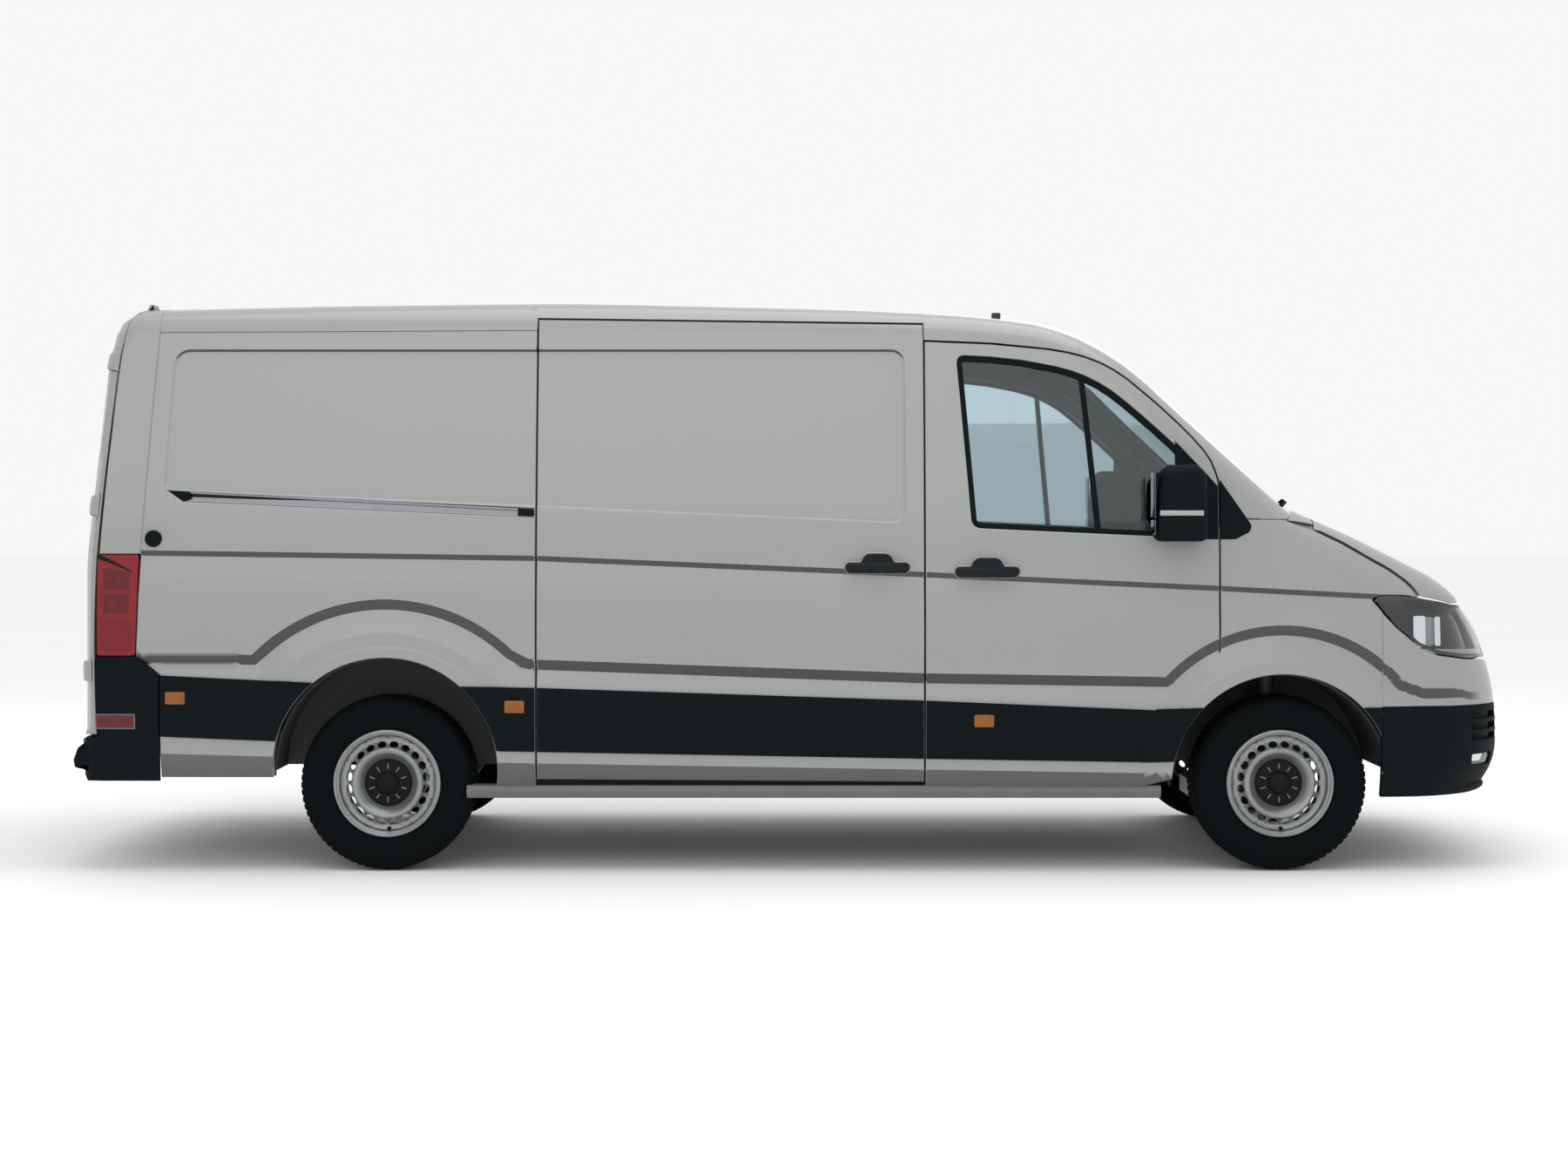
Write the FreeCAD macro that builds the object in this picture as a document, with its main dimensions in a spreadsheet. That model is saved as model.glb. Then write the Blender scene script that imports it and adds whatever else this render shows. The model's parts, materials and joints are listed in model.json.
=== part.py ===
import FreeCAD, Part
import math
import os
import re
import Sketcher

# Panel van, high roof line, one sliding side door, twin rear doors.
# +X is forward, +Y is left, +Z is up, origin on the ground at mid length.
# All lengths are in millimetres and all angles in degrees.

SIZES = [
    ("overall_length", 5986, "front bumper to rear step"),
    ("front_overhang", 1001, "front axle to front bumper"),
    ("wheelbase", 3640, "front axle to rear axle"),
    ("step_depth", 123, "rear step behind the rear doors"),
    ("waist_half_width", 1016, "half width at the waist line"),
    ("waist_height", 1250, "height of the waist line"),
    ("side_lean", 0.05, "inward lean of the sides at the waist"),
    ("sill_half_width", 985, "half width at the bottom of the body"),
    ("cant_half_width", 842, "half width of the sides carried above the roof"),
    ("cant_height", 2600, "height to which the sides are carried"),
    ("skirt_height", 200, "height from which the sides are carried"),
    ("roof_height", 2361, "highest line of the roof"),
    ("roof_fore_height", 2334, "roof line ahead of the crown"),
    ("roof_aft_height", 2349, "roof line behind the crown"),
    ("roof_rear_height", 2326, "roof line carried to the rear face"),
    ("roof_radius", 15000, "crown of the roof along the van"),
    ("roof_crown_back", 2892, "roof crown behind the front axle"),
    ("roof_fore_back", 1742, "fore roof line behind the front axle"),
    ("roof_aft_ahead", 970, "aft roof line ahead of the rear face"),
    ("roof_tail_radius", 120, "rounding from roof to rear face"),
    ("header_height", 2276, "where roof and windscreen lines meet"),
    ("header_back", 730, "windscreen header behind the front axle"),
    ("header_radius", 850, "rounding from roof to windscreen"),
    ("screen_fall", 0.911, "fall of the windscreen for each unit forward"),
    ("cowl_ahead", 213, "foot of the windscreen ahead of the front axle"),
    ("tail_lean", 102, "how far the rear face leans forward at the roof"),
    ("tail_knee_height", 1270, "height where the rear face starts to lean"),
    ("tail_knee_radius", 1500, "rounding where the rear face starts to lean"),
    ("roof_edge_radius", 100, "rounding between sides and roof"),
    ("nose_back", 58, "start of the nose block ahead of the front axle"),
    ("bonnet_rear_height", 1501, "bonnet line at the start of the nose block"),
    ("bonnet_mid_ahead", 400, "middle of the bonnet ahead of the front axle"),
    ("bonnet_mid_height", 1350, "bonnet line at its middle"),
    ("bonnet_front_ahead", 838, "front of the bonnet ahead of the front axle"),
    ("bonnet_front_height", 1130, "bonnet line at its front"),
    ("nose_top_height", 760, "upper end of the upright nose"),
    ("nose_low_height", 440, "lower end of the upright nose"),
    ("nose_foot_ahead", 860, "foot of the nose ahead of the front axle"),
    ("bonnet_radius", 1200, "rounding of the bonnet line at its middle"),
    ("bonnet_front_radius", 500, "rounding of the bonnet line at its front"),
    ("nose_top_radius", 900, "rounding above the upright nose"),
    ("nose_low_radius", 260, "rounding below the upright nose"),
    ("nose_edge_radius", 150, "rounding along bonnet and nose edges"),
    ("nose_corner_half", 965, "half width of the nose corners"),
    ("nose_corner_ahead", 773, "nose corners ahead of the front axle"),
    ("nose_corner_radius", 330, "plan radius of the nose corners"),
    ("nose_peak", 112, "how far the nose lines carry on beyond the bumper"),
    ("nose_bow_radius", 1900, "plan radius of the bumper front"),
    ("nose_side_radius", 2500, "plan radius where the nose starts to narrow"),
    ("wall", 60, "thickness of doors and walls"),
    ("skin", 25, "thickness of the bonnet"),
    ("groove_depth", 11, "depth of grooves and recesses"),
    ("panel_gap", 7, "gap round doors and bonnet"),
    ("seam", 0.3, "gap between fixed panels"),
    ("seat_gap", 0.4, "gap between a closed door and its frame"),
    ("glass", 6, "thickness of each pane"),
    ("glass_depth", 14, "door glass behind the door skin"),
    ("tyre_radius", 356, "outer radius of a tyre"),
    ("tyre_width", 235, "width of a tyre"),
    ("tyre_tread", 176, "width of the flat tread"),
    ("rim_radius", 215, "outer radius of a rim"),
    ("rim_width", 184, "width of a rim"),
    ("track_half", 850, "middle of a wheel from the centre line"),
    ("hub_radius", 35, "radius of a wheel spindle"),
    ("brake_radius", 140, "radius of a brake disc or drum"),
    ("rim_holes", 20, "holes round a rim"),
    ("rim_hole_radius", 15, "radius of a rim hole"),
    ("rim_hole_circle", 176, "circle of the rim holes"),
    ("arch_radius_front", 448, "opening of a front wheel arch"),
    ("arch_radius_rear", 456, "opening of a rear wheel arch"),
    ("arch_height_rear", 415, "centre of a rear wheel arch"),
    ("housing_wall", 8, "thickness of the wheel housings"),
    ("housing_half", 480, "inner wall of a front wheel housing"),
    ("rear_housing_half", 700, "inner wall of a rear wheel housing"),
    ("kingpin_half", 760, "steering axis from the centre line"),
    ("floor_height", 570, "top of the load floor"),
    ("cab_floor_height", 562, "top of the cab floor"),
    ("bulkhead_back", 1483, "rear face of the bulkhead behind the front axle"),
    ("floor_half", 925, "half width of the load floor"),
    ("floor_thickness", 22, "thickness of the load floor"),
    ("tow_hole_radius", 6.5, "holes for a tow bracket"),
    ("tow_hole_half", 300, "tow bracket holes from the centre line"),
    ("tow_hole_step", 20, "tow bracket holes either side of their middle"),
    ("rail_half", 400, "inner face of a frame rail"),
    ("rail_width", 60, "width of a frame rail"),
    ("rail_height", 118, "height of a frame rail"),
    ("door_front_back", 259, "front edge of the cab door behind the front axle"),
    ("door_rear_back", 1447, "rear edge of the cab door behind the front axle"),
    ("door_bottom", 345, "bottom edge of the cab door"),
    ("door_arch_radius", 590, "cab door edge round the front wheel"),
    ("cant_line", 2158, "top edge of the cab door at its rear"),
    ("slider_rear_ahead", 616, "rear edge of the side door ahead of the rear axle"),
    ("slider_top", 2250, "top edge of the side door"),
    ("slider_bottom", 366, "bottom edge of the side door"),
    ("sill_bottom", 305, "lowest edge of the sills"),
    ("quarter_bottom", 385, "lowest edge of the body behind the rear wheels"),
    ("rear_door_bottom", 560, "bottom edge of the rear doors"),
    ("rear_door_top", 2290, "top edge of the rear doors"),
    ("rear_door_depth", 54, "depth of the rear doors"),
    ("roof_seam_rear", 2196, "roof seam at the rear corner"),
    ("roof_seam_front", 2150, "roof seam at the cab door"),
    ("rear_post_width", 232, "rear corner post along the body side"),
    ("roof_front_back", 812, "front edge of the roof panel behind the front axle"),
    ("cowl_seam", 1433, "seam between wing and screen pillar"),
    ("wing_front_ahead", 405, "front edge of the wing ahead of the front axle"),
    ("wing_front_top", 1100, "seam above the bumper beside the lamp"),
    ("bonnet_edge_rear", 1392, "lower rear corner of the bonnet"),
    ("bonnet_edge_front", 1125, "bonnet edge above the lamps"),
    ("bonnet_lip", 1088, "front lip of the bonnet"),
    ("bonnet_rear_ahead", 190, "rear edge of the bonnet ahead of the front axle"),
    ("lamp_inner_half", 560, "inner end of a headlamp"),
    ("grille_half", 552, "half width of the grille opening"),
    ("grille_bottom", 850, "bottom of the grille opening"),
    ("bumper_bottom", 300, "lowest edge of the front bumper"),
    ("hinge_ahead", 70, "cab door hinge ahead of the door edge"),
    ("hinge_half", 1008, "cab door hinge from the centre line"),
    ("tail_hinge_back", 15, "rear door hinge behind the rear face"),
    ("tail_hinge_half", 1040, "rear door hinge from the centre line"),
    ("clad_out", 12, "how far the side cladding stands out"),
]

doc = FreeCAD.newDocument("panel_van")
sheet = doc.addObject("Spreadsheet::Sheet", "sizes")
for row, (alias, size, meaning) in enumerate(SIZES, start=1):
    sheet.set("A%d" % row, meaning)
    sheet.set("B%d" % row, str(size))
    sheet.setAlias("B%d" % row, alias)
doc.recompute()

NAMES = re.compile(r"\b(%s)\b" % "|".join(alias for alias, _, _ in SIZES))
X_AXIS = FreeCAD.Vector(1, 0, 0)
Y_AXIS = FreeCAD.Vector(0, 1, 0)
Z_AXIS = FreeCAD.Vector(0, 0, 1)
PLANES = {
    "XZ": (FreeCAD.Rotation(X_AXIS, 90), Y_AXIS, "y"),
    "YZ": (FreeCAD.Rotation(FreeCAD.Vector(1, 1, 1), 120), X_AXIS, "x"),
    "XY": (FreeCAD.Rotation(), Z_AXIS, "z"),
}
parts = []


def bound(formula):
    return NAMES.sub(lambda match: "sizes." + match.group(0), str(formula))


def value(formula):
    result = sheet.evalExpression(str(formula))
    return float(getattr(result, "Value", result))


def through(x, y):
    """A point on the arc that joins the corners on either side of it."""
    return ("arc", x, y)


def bow(start, middle, end):
    """An arc through three points, always turning the way that a sketch keeps it."""
    if (middle - start).cross(end - middle).z < 0:
        start, end = end, start
    return Part.Arc(start, middle, end)


def traced(corners):
    """Curves of a closed outline whose corners are (x, y) or (x, y, radius)."""
    bends = {}
    points = []
    for corner in corners:
        if corner[0] == "arc":
            bends[len(points) - 1] = corner[1:]
        else:
            points.append(corner)
    places = [FreeCAD.Vector(value(point[0]), value(point[1]), 0) for point in points]
    count = len(points)
    ends = []
    for i, point in enumerate(points):
        here = places[i]
        if len(point) < 3:
            ends.append((here, None, here))
            continue
        radius = value(point[2])
        back = (places[i - 1] - here).normalize()
        ahead_way = (places[(i + 1) % count] - here).normalize()
        angle = back.getAngle(ahead_way)
        reach = radius / math.tan(angle / 2)
        middle = (back + ahead_way).normalize() * (radius / math.sin(angle / 2) - radius)
        ends.append((here + back * reach, here + middle, here + ahead_way * reach))
    geometry = []
    for i in range(count):
        start, end = ends[i][2], ends[(i + 1) % count][0]
        if i in bends:
            bend = FreeCAD.Vector(value(bends[i][0]), value(bends[i][1]), 0)
            geometry.append(bow(start, bend, end))
        else:
            geometry.append(Part.LineSegment(start, end))
    return points, places, bends, ends, geometry


def face(name, plane, corners, at="0"):
    """A flat outline whose long gentle arcs are too large for a constrained sketch."""
    _, _, _, ends, lines = traced(corners)
    curves = []
    for i, line in enumerate(lines):
        if ends[i][1] is not None:
            curves.append(bow(*ends[i]).toShape())
        curves.append(line.toShape())
    outline = doc.addObject("Part::Feature", name)
    outline.Shape = Part.Face(Part.Wire(Part.__sortEdges__(curves)))
    rotation, _, axis = PLANES[plane]
    outline.Placement = FreeCAD.Placement(FreeCAD.Vector(), rotation)
    outline.setExpression("Placement.Base." + axis, bound(at))
    return outline


def sketch(name, plane, corners, at="0"):
    """A closed outline with every corner held by the sizes."""
    points, places, bends, ends, geometry = traced(corners)
    count = len(points)
    rotation, _, axis = PLANES[plane]
    outline = doc.addObject("Sketcher::SketchObject", name)
    outline.Placement = FreeCAD.Placement(FreeCAD.Vector(), rotation)
    outline.setExpression("Placement.Base." + axis, bound(at))
    arcs = {}
    for i in range(count):
        if ends[i][1] is not None:
            arcs[i] = len(geometry)
            geometry.append(bow(*ends[i]))
    helpers = len(geometry)
    for i in sorted(arcs):
        geometry.append(Part.Point(places[i]))
    for i in sorted(bends):
        geometry.append(Part.Point(FreeCAD.Vector(value(bends[i][0]), value(bends[i][1]), 0)))
    outline.addGeometry(geometry, False)
    for index in range(helpers, len(geometry)):
        outline.setConstruction(index, True)

    def side(index, place):
        curve = outline.Geometry[index]
        near = (curve.StartPoint - place).Length < (curve.EndPoint - place).Length
        return 1 if near else 2

    constraints = []
    formulas = {}

    def pin(index, end, x, y):
        constraints.append(Sketcher.Constraint("DistanceX", -1, 1, index, end, value(x)))
        formulas[len(constraints) - 1] = x
        constraints.append(Sketcher.Constraint("DistanceY", -1, 1, index, end, value(y)))
        formulas[len(constraints) - 1] = y

    helper = helpers
    for i, point in enumerate(points):
        before, after = (i - 1) % count, i
        start, _, stop = ends[i]
        if i in arcs:
            arc = arcs[i]
            constraints.append(Sketcher.Constraint(
                "Tangent", before, side(before, start), arc, side(arc, start)))
            constraints.append(Sketcher.Constraint(
                "Tangent", arc, side(arc, stop), after, side(after, stop)))
            constraints.append(Sketcher.Constraint("Radius", arc, value(point[2])))
            formulas[len(constraints) - 1] = point[2]
            constraints.append(Sketcher.Constraint("PointOnObject", helper, 1, before))
            constraints.append(Sketcher.Constraint("PointOnObject", helper, 1, after))
            pin(helper, 1, point[0], point[1])
            helper += 1
        else:
            constraints.append(Sketcher.Constraint(
                "Coincident", before, side(before, start), after, side(after, start)))
            pin(after, side(after, start), point[0], point[1])
    for i in sorted(bends):
        constraints.append(Sketcher.Constraint("PointOnObject", helper, 1, i))
        pin(helper, 1, *bends[i])
        helper += 1
    outline.addConstraint(constraints)
    for index, formula in formulas.items():
        outline.setExpression("Constraints[%d]" % index, bound(formula))
    return outline


def prism(name, plane, corners, start, end, outline=sketch):
    """An outline carried along its plane's normal from start to end."""
    solid = doc.addObject("Part::Extrusion", name)
    solid.Base = outline(name + "_outline", plane, corners, start)
    solid.DirMode = "Custom"
    solid.Dir = PLANES[plane][1]
    solid.Solid = True
    solid.setExpression("LengthFwd", bound("(%s) - (%s)" % (end, start)))
    return solid


def box(name, x, y, z):
    """A block between two places along each axis."""
    solid = doc.addObject("Part::Box", name)
    for size, axis, (low, high) in (("Length", "x", x), ("Width", "y", y), ("Height", "z", z)):
        solid.setExpression(size, bound("(%s) - (%s)" % (high, low)))
        solid.setExpression("Placement.Base." + axis, bound(low))
    return solid


def rod(name, axis, centre, radius, start, end):
    """A cylinder along an axis. centre holds the other two places in order."""
    solid = doc.addObject("Part::Cylinder", name)
    turn = {"x": FreeCAD.Rotation(Y_AXIS, 90), "y": FreeCAD.Rotation(X_AXIS, -90),
            "z": FreeCAD.Rotation()}[axis]
    solid.Placement = FreeCAD.Placement(FreeCAD.Vector(), turn)
    solid.setExpression("Radius", bound(radius))
    solid.setExpression("Height", bound("(%s) - (%s)" % (end, start)))
    others = [letter for letter in "xyz" if letter != axis]
    solid.setExpression("Placement.Base." + axis, bound(start))
    solid.setExpression("Placement.Base." + others[0], bound(centre[0]))
    solid.setExpression("Placement.Base." + others[1], bound(centre[1]))
    return solid


def spun(name, corners, centre, turn=FreeCAD.Rotation()):
    """An outline of (radius, place along Y) turned about the Y axis, then moved to centre."""
    outline = sketch(name + "_outline", "XY", corners)
    solid = doc.addObject("Part::Revolution", name + "_turned")
    solid.Source = outline
    solid.Axis = Y_AXIS
    solid.Angle = 360
    solid.Solid = True
    moved = doc.addObject("Part::Compound", name)
    moved.Links = [solid]
    moved.Placement = FreeCAD.Placement(FreeCAD.Vector(), turn)
    for letter, place in zip("xyz", centre):
        moved.setExpression("Placement.Base." + letter, bound(place))
    return moved


def cut(name, base, *tools):
    for number, tool in enumerate(tools, start=1):
        last = number == len(tools)
        result = doc.addObject("Part::Cut", name if last else "%s_step_%d" % (name, number))
        result.Base = base
        result.Tool = tool
        base = result
    return base


def common(name, base, tool):
    result = doc.addObject("Part::Common", name)
    result.Base = base
    result.Tool = tool
    return result


def fuse(name, *shapes):
    result = doc.addObject("Part::MultiFuse", name)
    result.Shapes = list(shapes)
    return result


def group(name, *shapes):
    result = doc.addObject("Part::Compound", name)
    result.Links = list(shapes)
    return result


def mirrored(name, source):
    result = doc.addObject("Part::Mirroring", name)
    result.Source = source
    result.Normal = Y_AXIS
    return result


def rounded(name, base, radius, chosen):
    """Rounds the edges of base that chosen accepts."""
    doc.recompute()
    result = doc.addObject("Part::Fillet", name)
    result.Base = base
    size = value(radius)
    result.Edges = [(number, size, size) for number, edge in enumerate(base.Shape.Edges, start=1)
                    if chosen(edge)]
    return result


def keep(part, label):
    """Names a finished sub-part."""
    part.Label = label
    parts.append(part)
    return part


FRONT = "(overall_length / 2 - front_overhang)"
REAR = "(overall_length / 2 - front_overhang - wheelbase)"
TAIL = "(step_depth - overall_length / 2)"
WIDE = "1300"


def front(distance):
    return "%s + (%s)" % (FRONT, distance)


def rear(distance):
    return "%s + (%s)" % (REAR, distance)


def tail(distance):
    return "%s + (%s)" % (TAIL, distance)


def on_circle(place, height, radius, angle):
    """A corner on a circle, angle measured from straight ahead upwards."""
    return ("%s + (%s) * cos(%s)" % (place, radius, angle),
            "%s + (%s) * sin(%s)" % (height, radius, angle))


# Outer forms

def bulge(start, end, lean):
    """Middle of the arc that leaves start at the given lean and ends at end."""
    start, end = FreeCAD.Vector(*start), FreeCAD.Vector(*end)
    chord = end - start
    direction = FreeCAD.Vector(-lean, 1, 0)
    if direction.dot(chord) < 0:
        direction = direction * -1
    depth = chord.Length / 2 * math.tan(direction.getAngle(chord) / 2)
    outward = FreeCAD.Vector(chord.y, -chord.x, 0).normalize()
    if direction.cross(chord).z < 0:
        outward = outward * -1
    middle = (start + end) * 0.5 + outward * depth
    return middle.x, middle.y


def side_section(name, inset):
    """The body's cross section, carried the whole length of the van."""
    foot = (value("sill_half_width - (%s)" % inset), value("skirt_height"))
    waist = (value("waist_half_width - (%s)" % inset), value("waist_height"))
    cant = (value("cant_half_width - (%s)" % inset), value("cant_height"))
    low, high = (bulge(waist, end, value("side_lean")) for end in (foot, cant))
    left = [foot, through(*low), waist, through(*high), cant]
    right = [(-cant[0], cant[1]), through(-high[0], high[1]), (-waist[0], waist[1]),
             through(-low[0], low[1]), (-foot[0], foot[1])]
    return prism(name, "YZ", left + right, "-overall_length", "overall_length", face)


def cabin_profile(name, inset):
    """Side view of cab and load space, carried across the van."""
    return prism(name, "XZ", [
        (tail(inset), "skirt_height"),
        (tail(inset), "tail_knee_height", "tail_knee_radius"),
        (tail("tail_lean + (%s)" % inset), "roof_rear_height - (%s)" % inset, "roof_tail_radius"),
        (tail("roof_aft_ahead"), "roof_aft_height - (%s)" % inset, "roof_radius"),
        (front("-roof_crown_back"), "roof_height - (%s)" % inset, "roof_radius"),
        (front("-roof_fore_back"), "roof_fore_height - (%s)" % inset, "roof_radius"),
        (front("-header_back - 0.7 * (%s)" % inset), "header_height - (%s)" % inset,
         "header_radius"),
        (front("cowl_ahead"),
         "header_height - (cowl_ahead + header_back) * screen_fall - 1.35 * (%s)" % inset),
        (front("cowl_ahead"), "skirt_height"),
    ], "-" + WIDE, WIDE, face)


def nose_profile(name, inset):
    """Side view of bonnet and bumper, carried across the van."""
    return prism(name, "XZ", [
        (front("nose_back"), "skirt_height"),
        (front("nose_back"), "bonnet_rear_height - (%s)" % inset),
        (front("bonnet_mid_ahead - 0.35 * (%s)" % inset), "bonnet_mid_height - (%s)" % inset,
         "bonnet_radius - (%s)" % inset),
        (front("bonnet_front_ahead - 0.7 * (%s)" % inset),
         "bonnet_front_height - 0.8 * (%s)" % inset,
         "bonnet_front_radius - (%s)" % inset),
        (front("front_overhang - (%s)" % inset), "nose_top_height",
         "nose_top_radius - (%s)" % inset),
        (front("front_overhang - (%s)" % inset), "nose_low_height",
         "nose_low_radius - (%s)" % inset),
        (front("nose_foot_ahead - (%s)" % inset), "skirt_height"),
    ], "-" + WIDE, WIDE, face)


def nose_plan(name, inset):
    """Plan view of the nose."""
    side = "waist_half_width + 12 - (%s)" % inset
    corner = "nose_corner_half - (%s)" % inset
    ahead = front("nose_corner_ahead")
    start = front("cowl_ahead + 60")
    return prism(name, "XY", [
        (FRONT, side), (start, side, "nose_side_radius"), (ahead, corner, "nose_corner_radius"),
        (front("front_overhang + nose_peak - (%s)" % inset), "0", "nose_bow_radius"),
        (ahead, "-(%s)" % corner, "nose_corner_radius"),
        (start, "-(%s)" % side, "nose_side_radius"), (FRONT, "-(%s)" % side),
    ], "skirt_height / 2", "bonnet_rear_height + 200", face)


def on_one_side(edge, half):
    bounds = edge.BoundBox
    return bounds.YMin * bounds.YMax > 0 and abs(bounds.Center.y) > half


def hull(tag, inset, rounded_nose=True):
    """The whole body as one solid, its faces moved inwards by inset."""
    section = side_section("section_" + tag, inset)
    cabin = common("cabin_" + tag, section, cabin_profile("cabin_profile_" + tag, inset))
    cabin = rounded("cabin_round_" + tag, cabin, "roof_edge_radius - 0.7 * (%s)" % inset,
                    lambda edge: on_one_side(edge, 750) and edge.BoundBox.ZMin > 1250
                    and edge.BoundBox.XLength > 60 and edge.BoundBox.ZLength >= 1)
    nose = common("nose_block_" + tag, nose_profile("nose_profile_" + tag, inset), section)
    if rounded_nose:
        nose = rounded("nose_round_" + tag, nose, "nose_edge_radius - (%s)" % inset,
                       lambda edge: on_one_side(edge, 600) and edge.BoundBox.XMax > value(front(70))
                       and edge.BoundBox.ZMax > 260 and edge.BoundBox.ZLength > 1
                       and edge.BoundBox.XLength > 0)
    nose = common("nose_" + tag, nose, nose_plan("nose_plan_" + tag, inset))
    return fuse("hull_" + tag, cabin, nose)


def widened(name, source, gap, start, end, plane="XZ"):
    """The prism of source's outline grown by gap, for the opening round it."""
    offset = doc.addObject("Part::Offset2D", name + "_outline")
    offset.Source = source.Base
    offset.setExpression("Value", bound(gap))
    offset.Join = 2
    solid = doc.addObject("Part::Extrusion", name)
    solid.Base = offset
    solid.DirMode = "Custom"
    solid.Dir = PLANES[plane][1]
    solid.Solid = True
    solid.setExpression("LengthFwd", bound("(%s) - (%s)" % (end, start)))
    return solid


outer = hull("outer", "0")
inner = hull("inner", "wall", rounded_nose=False)
creased = hull("creased", "groove_depth")
lining = hull("lining", "skin")

# Pressed lines of the sides: waist groove, swage over both wheels, large upper recess

waist_groove = prism("waist_groove", "XZ", [
    (tail(232), "waist_height + 28"), (rear(600), "waist_height + 1"),
    (front(-1455), "waist_height - 66"), (front(-259), "waist_height - 123"),
    (front(355), "waist_height - 148"), (front(345), "waist_height - 124"),
    (front(-259), "waist_height - 98"), (front(-1455), "waist_height - 41"),
    (rear(600), "waist_height + 26"), (tail(232), "waist_height + 53")], "-" + WIDE, WIDE)
side_recess = prism("side_recess", "XZ", [
    (tail(331), "1545", "40"), (front(-1525), "1418", "60"), (front(-1525), "2128", "60"),
    (tail(331), "2128", "60")], "-" + WIDE, WIDE)
rail_slot = prism("rail_slot", "XZ", [
    (tail(370), "1512"), (rear(600), "1437"), (rear(600), "1470"), (tail(370), "1556")],
    "-" + WIDE, "0")
pressings = cut("pressings", fuse("pressing_bands", waist_groove, side_recess, rail_slot), creased)
pressed = cut("pressed", outer, pressings)
shell = cut("shell", pressed, inner)

# Outlines of everything that opens or is set into the shell

door_outline = prism("door_block", "XZ", [
    (front("-door_rear_back"), "door_bottom"),
    (front("-door_rear_back"), "cant_line"),
    (front(-958), "cant_line - 43"), (front(-780), "cant_line - 114"),
    (front(-603), "cant_line - 239"), (front(-426), "cant_line - 398"),
    (front(-301), "cant_line - 533"), (front("-door_front_back"), "cant_line - 598"),
    (front("-door_front_back"),
     "tyre_radius + sqrt(door_arch_radius * door_arch_radius - door_front_back * door_front_back)"),
    through(*on_circle(FRONT, "tyre_radius", "door_arch_radius", "137")),
    on_circle(FRONT, "tyre_radius", "door_arch_radius", "156"),
    (front("25 - door_arch_radius"), "door_bottom"),
], "-" + WIDE, WIDE)
slider_outline = prism("slider_block", "XZ", [
    (rear("slider_rear_ahead"), "slider_bottom + 10"), (rear("slider_rear_ahead"), "slider_top"),
    (front("-door_rear_back - panel_gap"), "slider_top - 20"),
    (front("-door_rear_back - panel_gap"), "slider_bottom"),
], "-" + WIDE, "-600")
rear_door_outline = prism("rear_door_block", "XZ", [
    (tail(-200), "rear_door_bottom"), (tail("rear_door_depth"), "rear_door_bottom"),
    (tail("rear_door_depth"), "tail_knee_height"),
    (tail("rear_door_depth + tail_lean * (rear_door_top - tail_knee_height)"
          " / (roof_rear_height - tail_knee_height)"), "rear_door_top"),
    (tail(-200), "rear_door_top")], "-" + WIDE, WIDE)
bonnet_outline = prism("bonnet_block", "XZ", [
    (front("bonnet_rear_ahead - 32"), "bonnet_edge_rear"),
    (front(600), "bonnet_edge_front"), (front(708), "bonnet_lip + 10"),
    (front("front_overhang + 59"), "bonnet_lip"), (front("front_overhang + 59"), "1750"),
    (front("bonnet_rear_ahead"), "1750"), (front("bonnet_rear_ahead"), "bonnet_edge_rear + 60"),
], "-" + WIDE, WIDE)
screen_outline = prism("screen_block", "XY", [
    (front("40 - header_back"), "800", "70"), (front(150), "900", "60"),
    (front(150), "-900", "60"), (front("40 - header_back"), "-800", "70")], "1300", "2500")
headlamp_outline = prism("headlamp_block", "XZ", [
    (front(373), "1103"), (front(708), "1081"), (front("front_overhang + 59"), "1070"),
    (front("front_overhang + 59"), "grille_bottom"), (front(756), "grille_bottom + 14"),
    (front(638), "883"), (front(551), "919"), (front(461), "997")], "-" + WIDE,
    "-lamp_inner_half")
tail_lamp_outline = prism("tail_lamp_block", "XZ", [
    (tail("rear_door_depth + panel_gap + 6"), "880"), (tail(212), "880"), (tail(226), "1290"),
    (tail("rear_door_depth + panel_gap + 6"), "1290")], "-" + WIDE, "-880")
grille_block = box("grille_block", (front(600), front("front_overhang + 59")),
                   ("-grille_half", "grille_half"), ("grille_bottom", "1070"))
front_arch = rod("front_arch", "y", (FRONT, "tyre_radius"), "arch_radius_front", "-" + WIDE, WIDE)
rear_arch = rod("rear_arch", "y", (REAR, "arch_height_rear"), "arch_radius_rear",
                "-" + WIDE, WIDE)

openings = [
    widened("door_opening", door_outline, "panel_gap", "-" + WIDE, WIDE),
    widened("slider_opening", slider_outline, "panel_gap", "-" + WIDE, "-600"),
    widened("rear_door_opening", rear_door_outline, "panel_gap", "-" + WIDE, WIDE),
    widened("bonnet_opening", bonnet_outline, "panel_gap", "-" + WIDE, WIDE),
    widened("headlamp_opening", headlamp_outline, "seam", "-" + WIDE, "-lamp_inner_half + seam"),
    widened("tail_lamp_opening", tail_lamp_outline, "seam", "-" + WIDE, "-880"),
    widened("screen_opening", screen_outline, "seam", "1300", "2500", "XY"),
]
openings += [mirrored(block.Name + "_left", block) for block in openings[4:6]]
openings += [box("grille_opening", (front(600), front("front_overhang + 59")),
                 ("-grille_half - seam", "grille_half + seam"),
                 ("grille_bottom - seam", "1070 + seam")), front_arch, rear_arch]
fixed = cut("fixed_shell", shell, fuse("all_openings", *openings))
doc.recompute()

# Fixed panels of the body, cut from the shell along their seams

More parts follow.
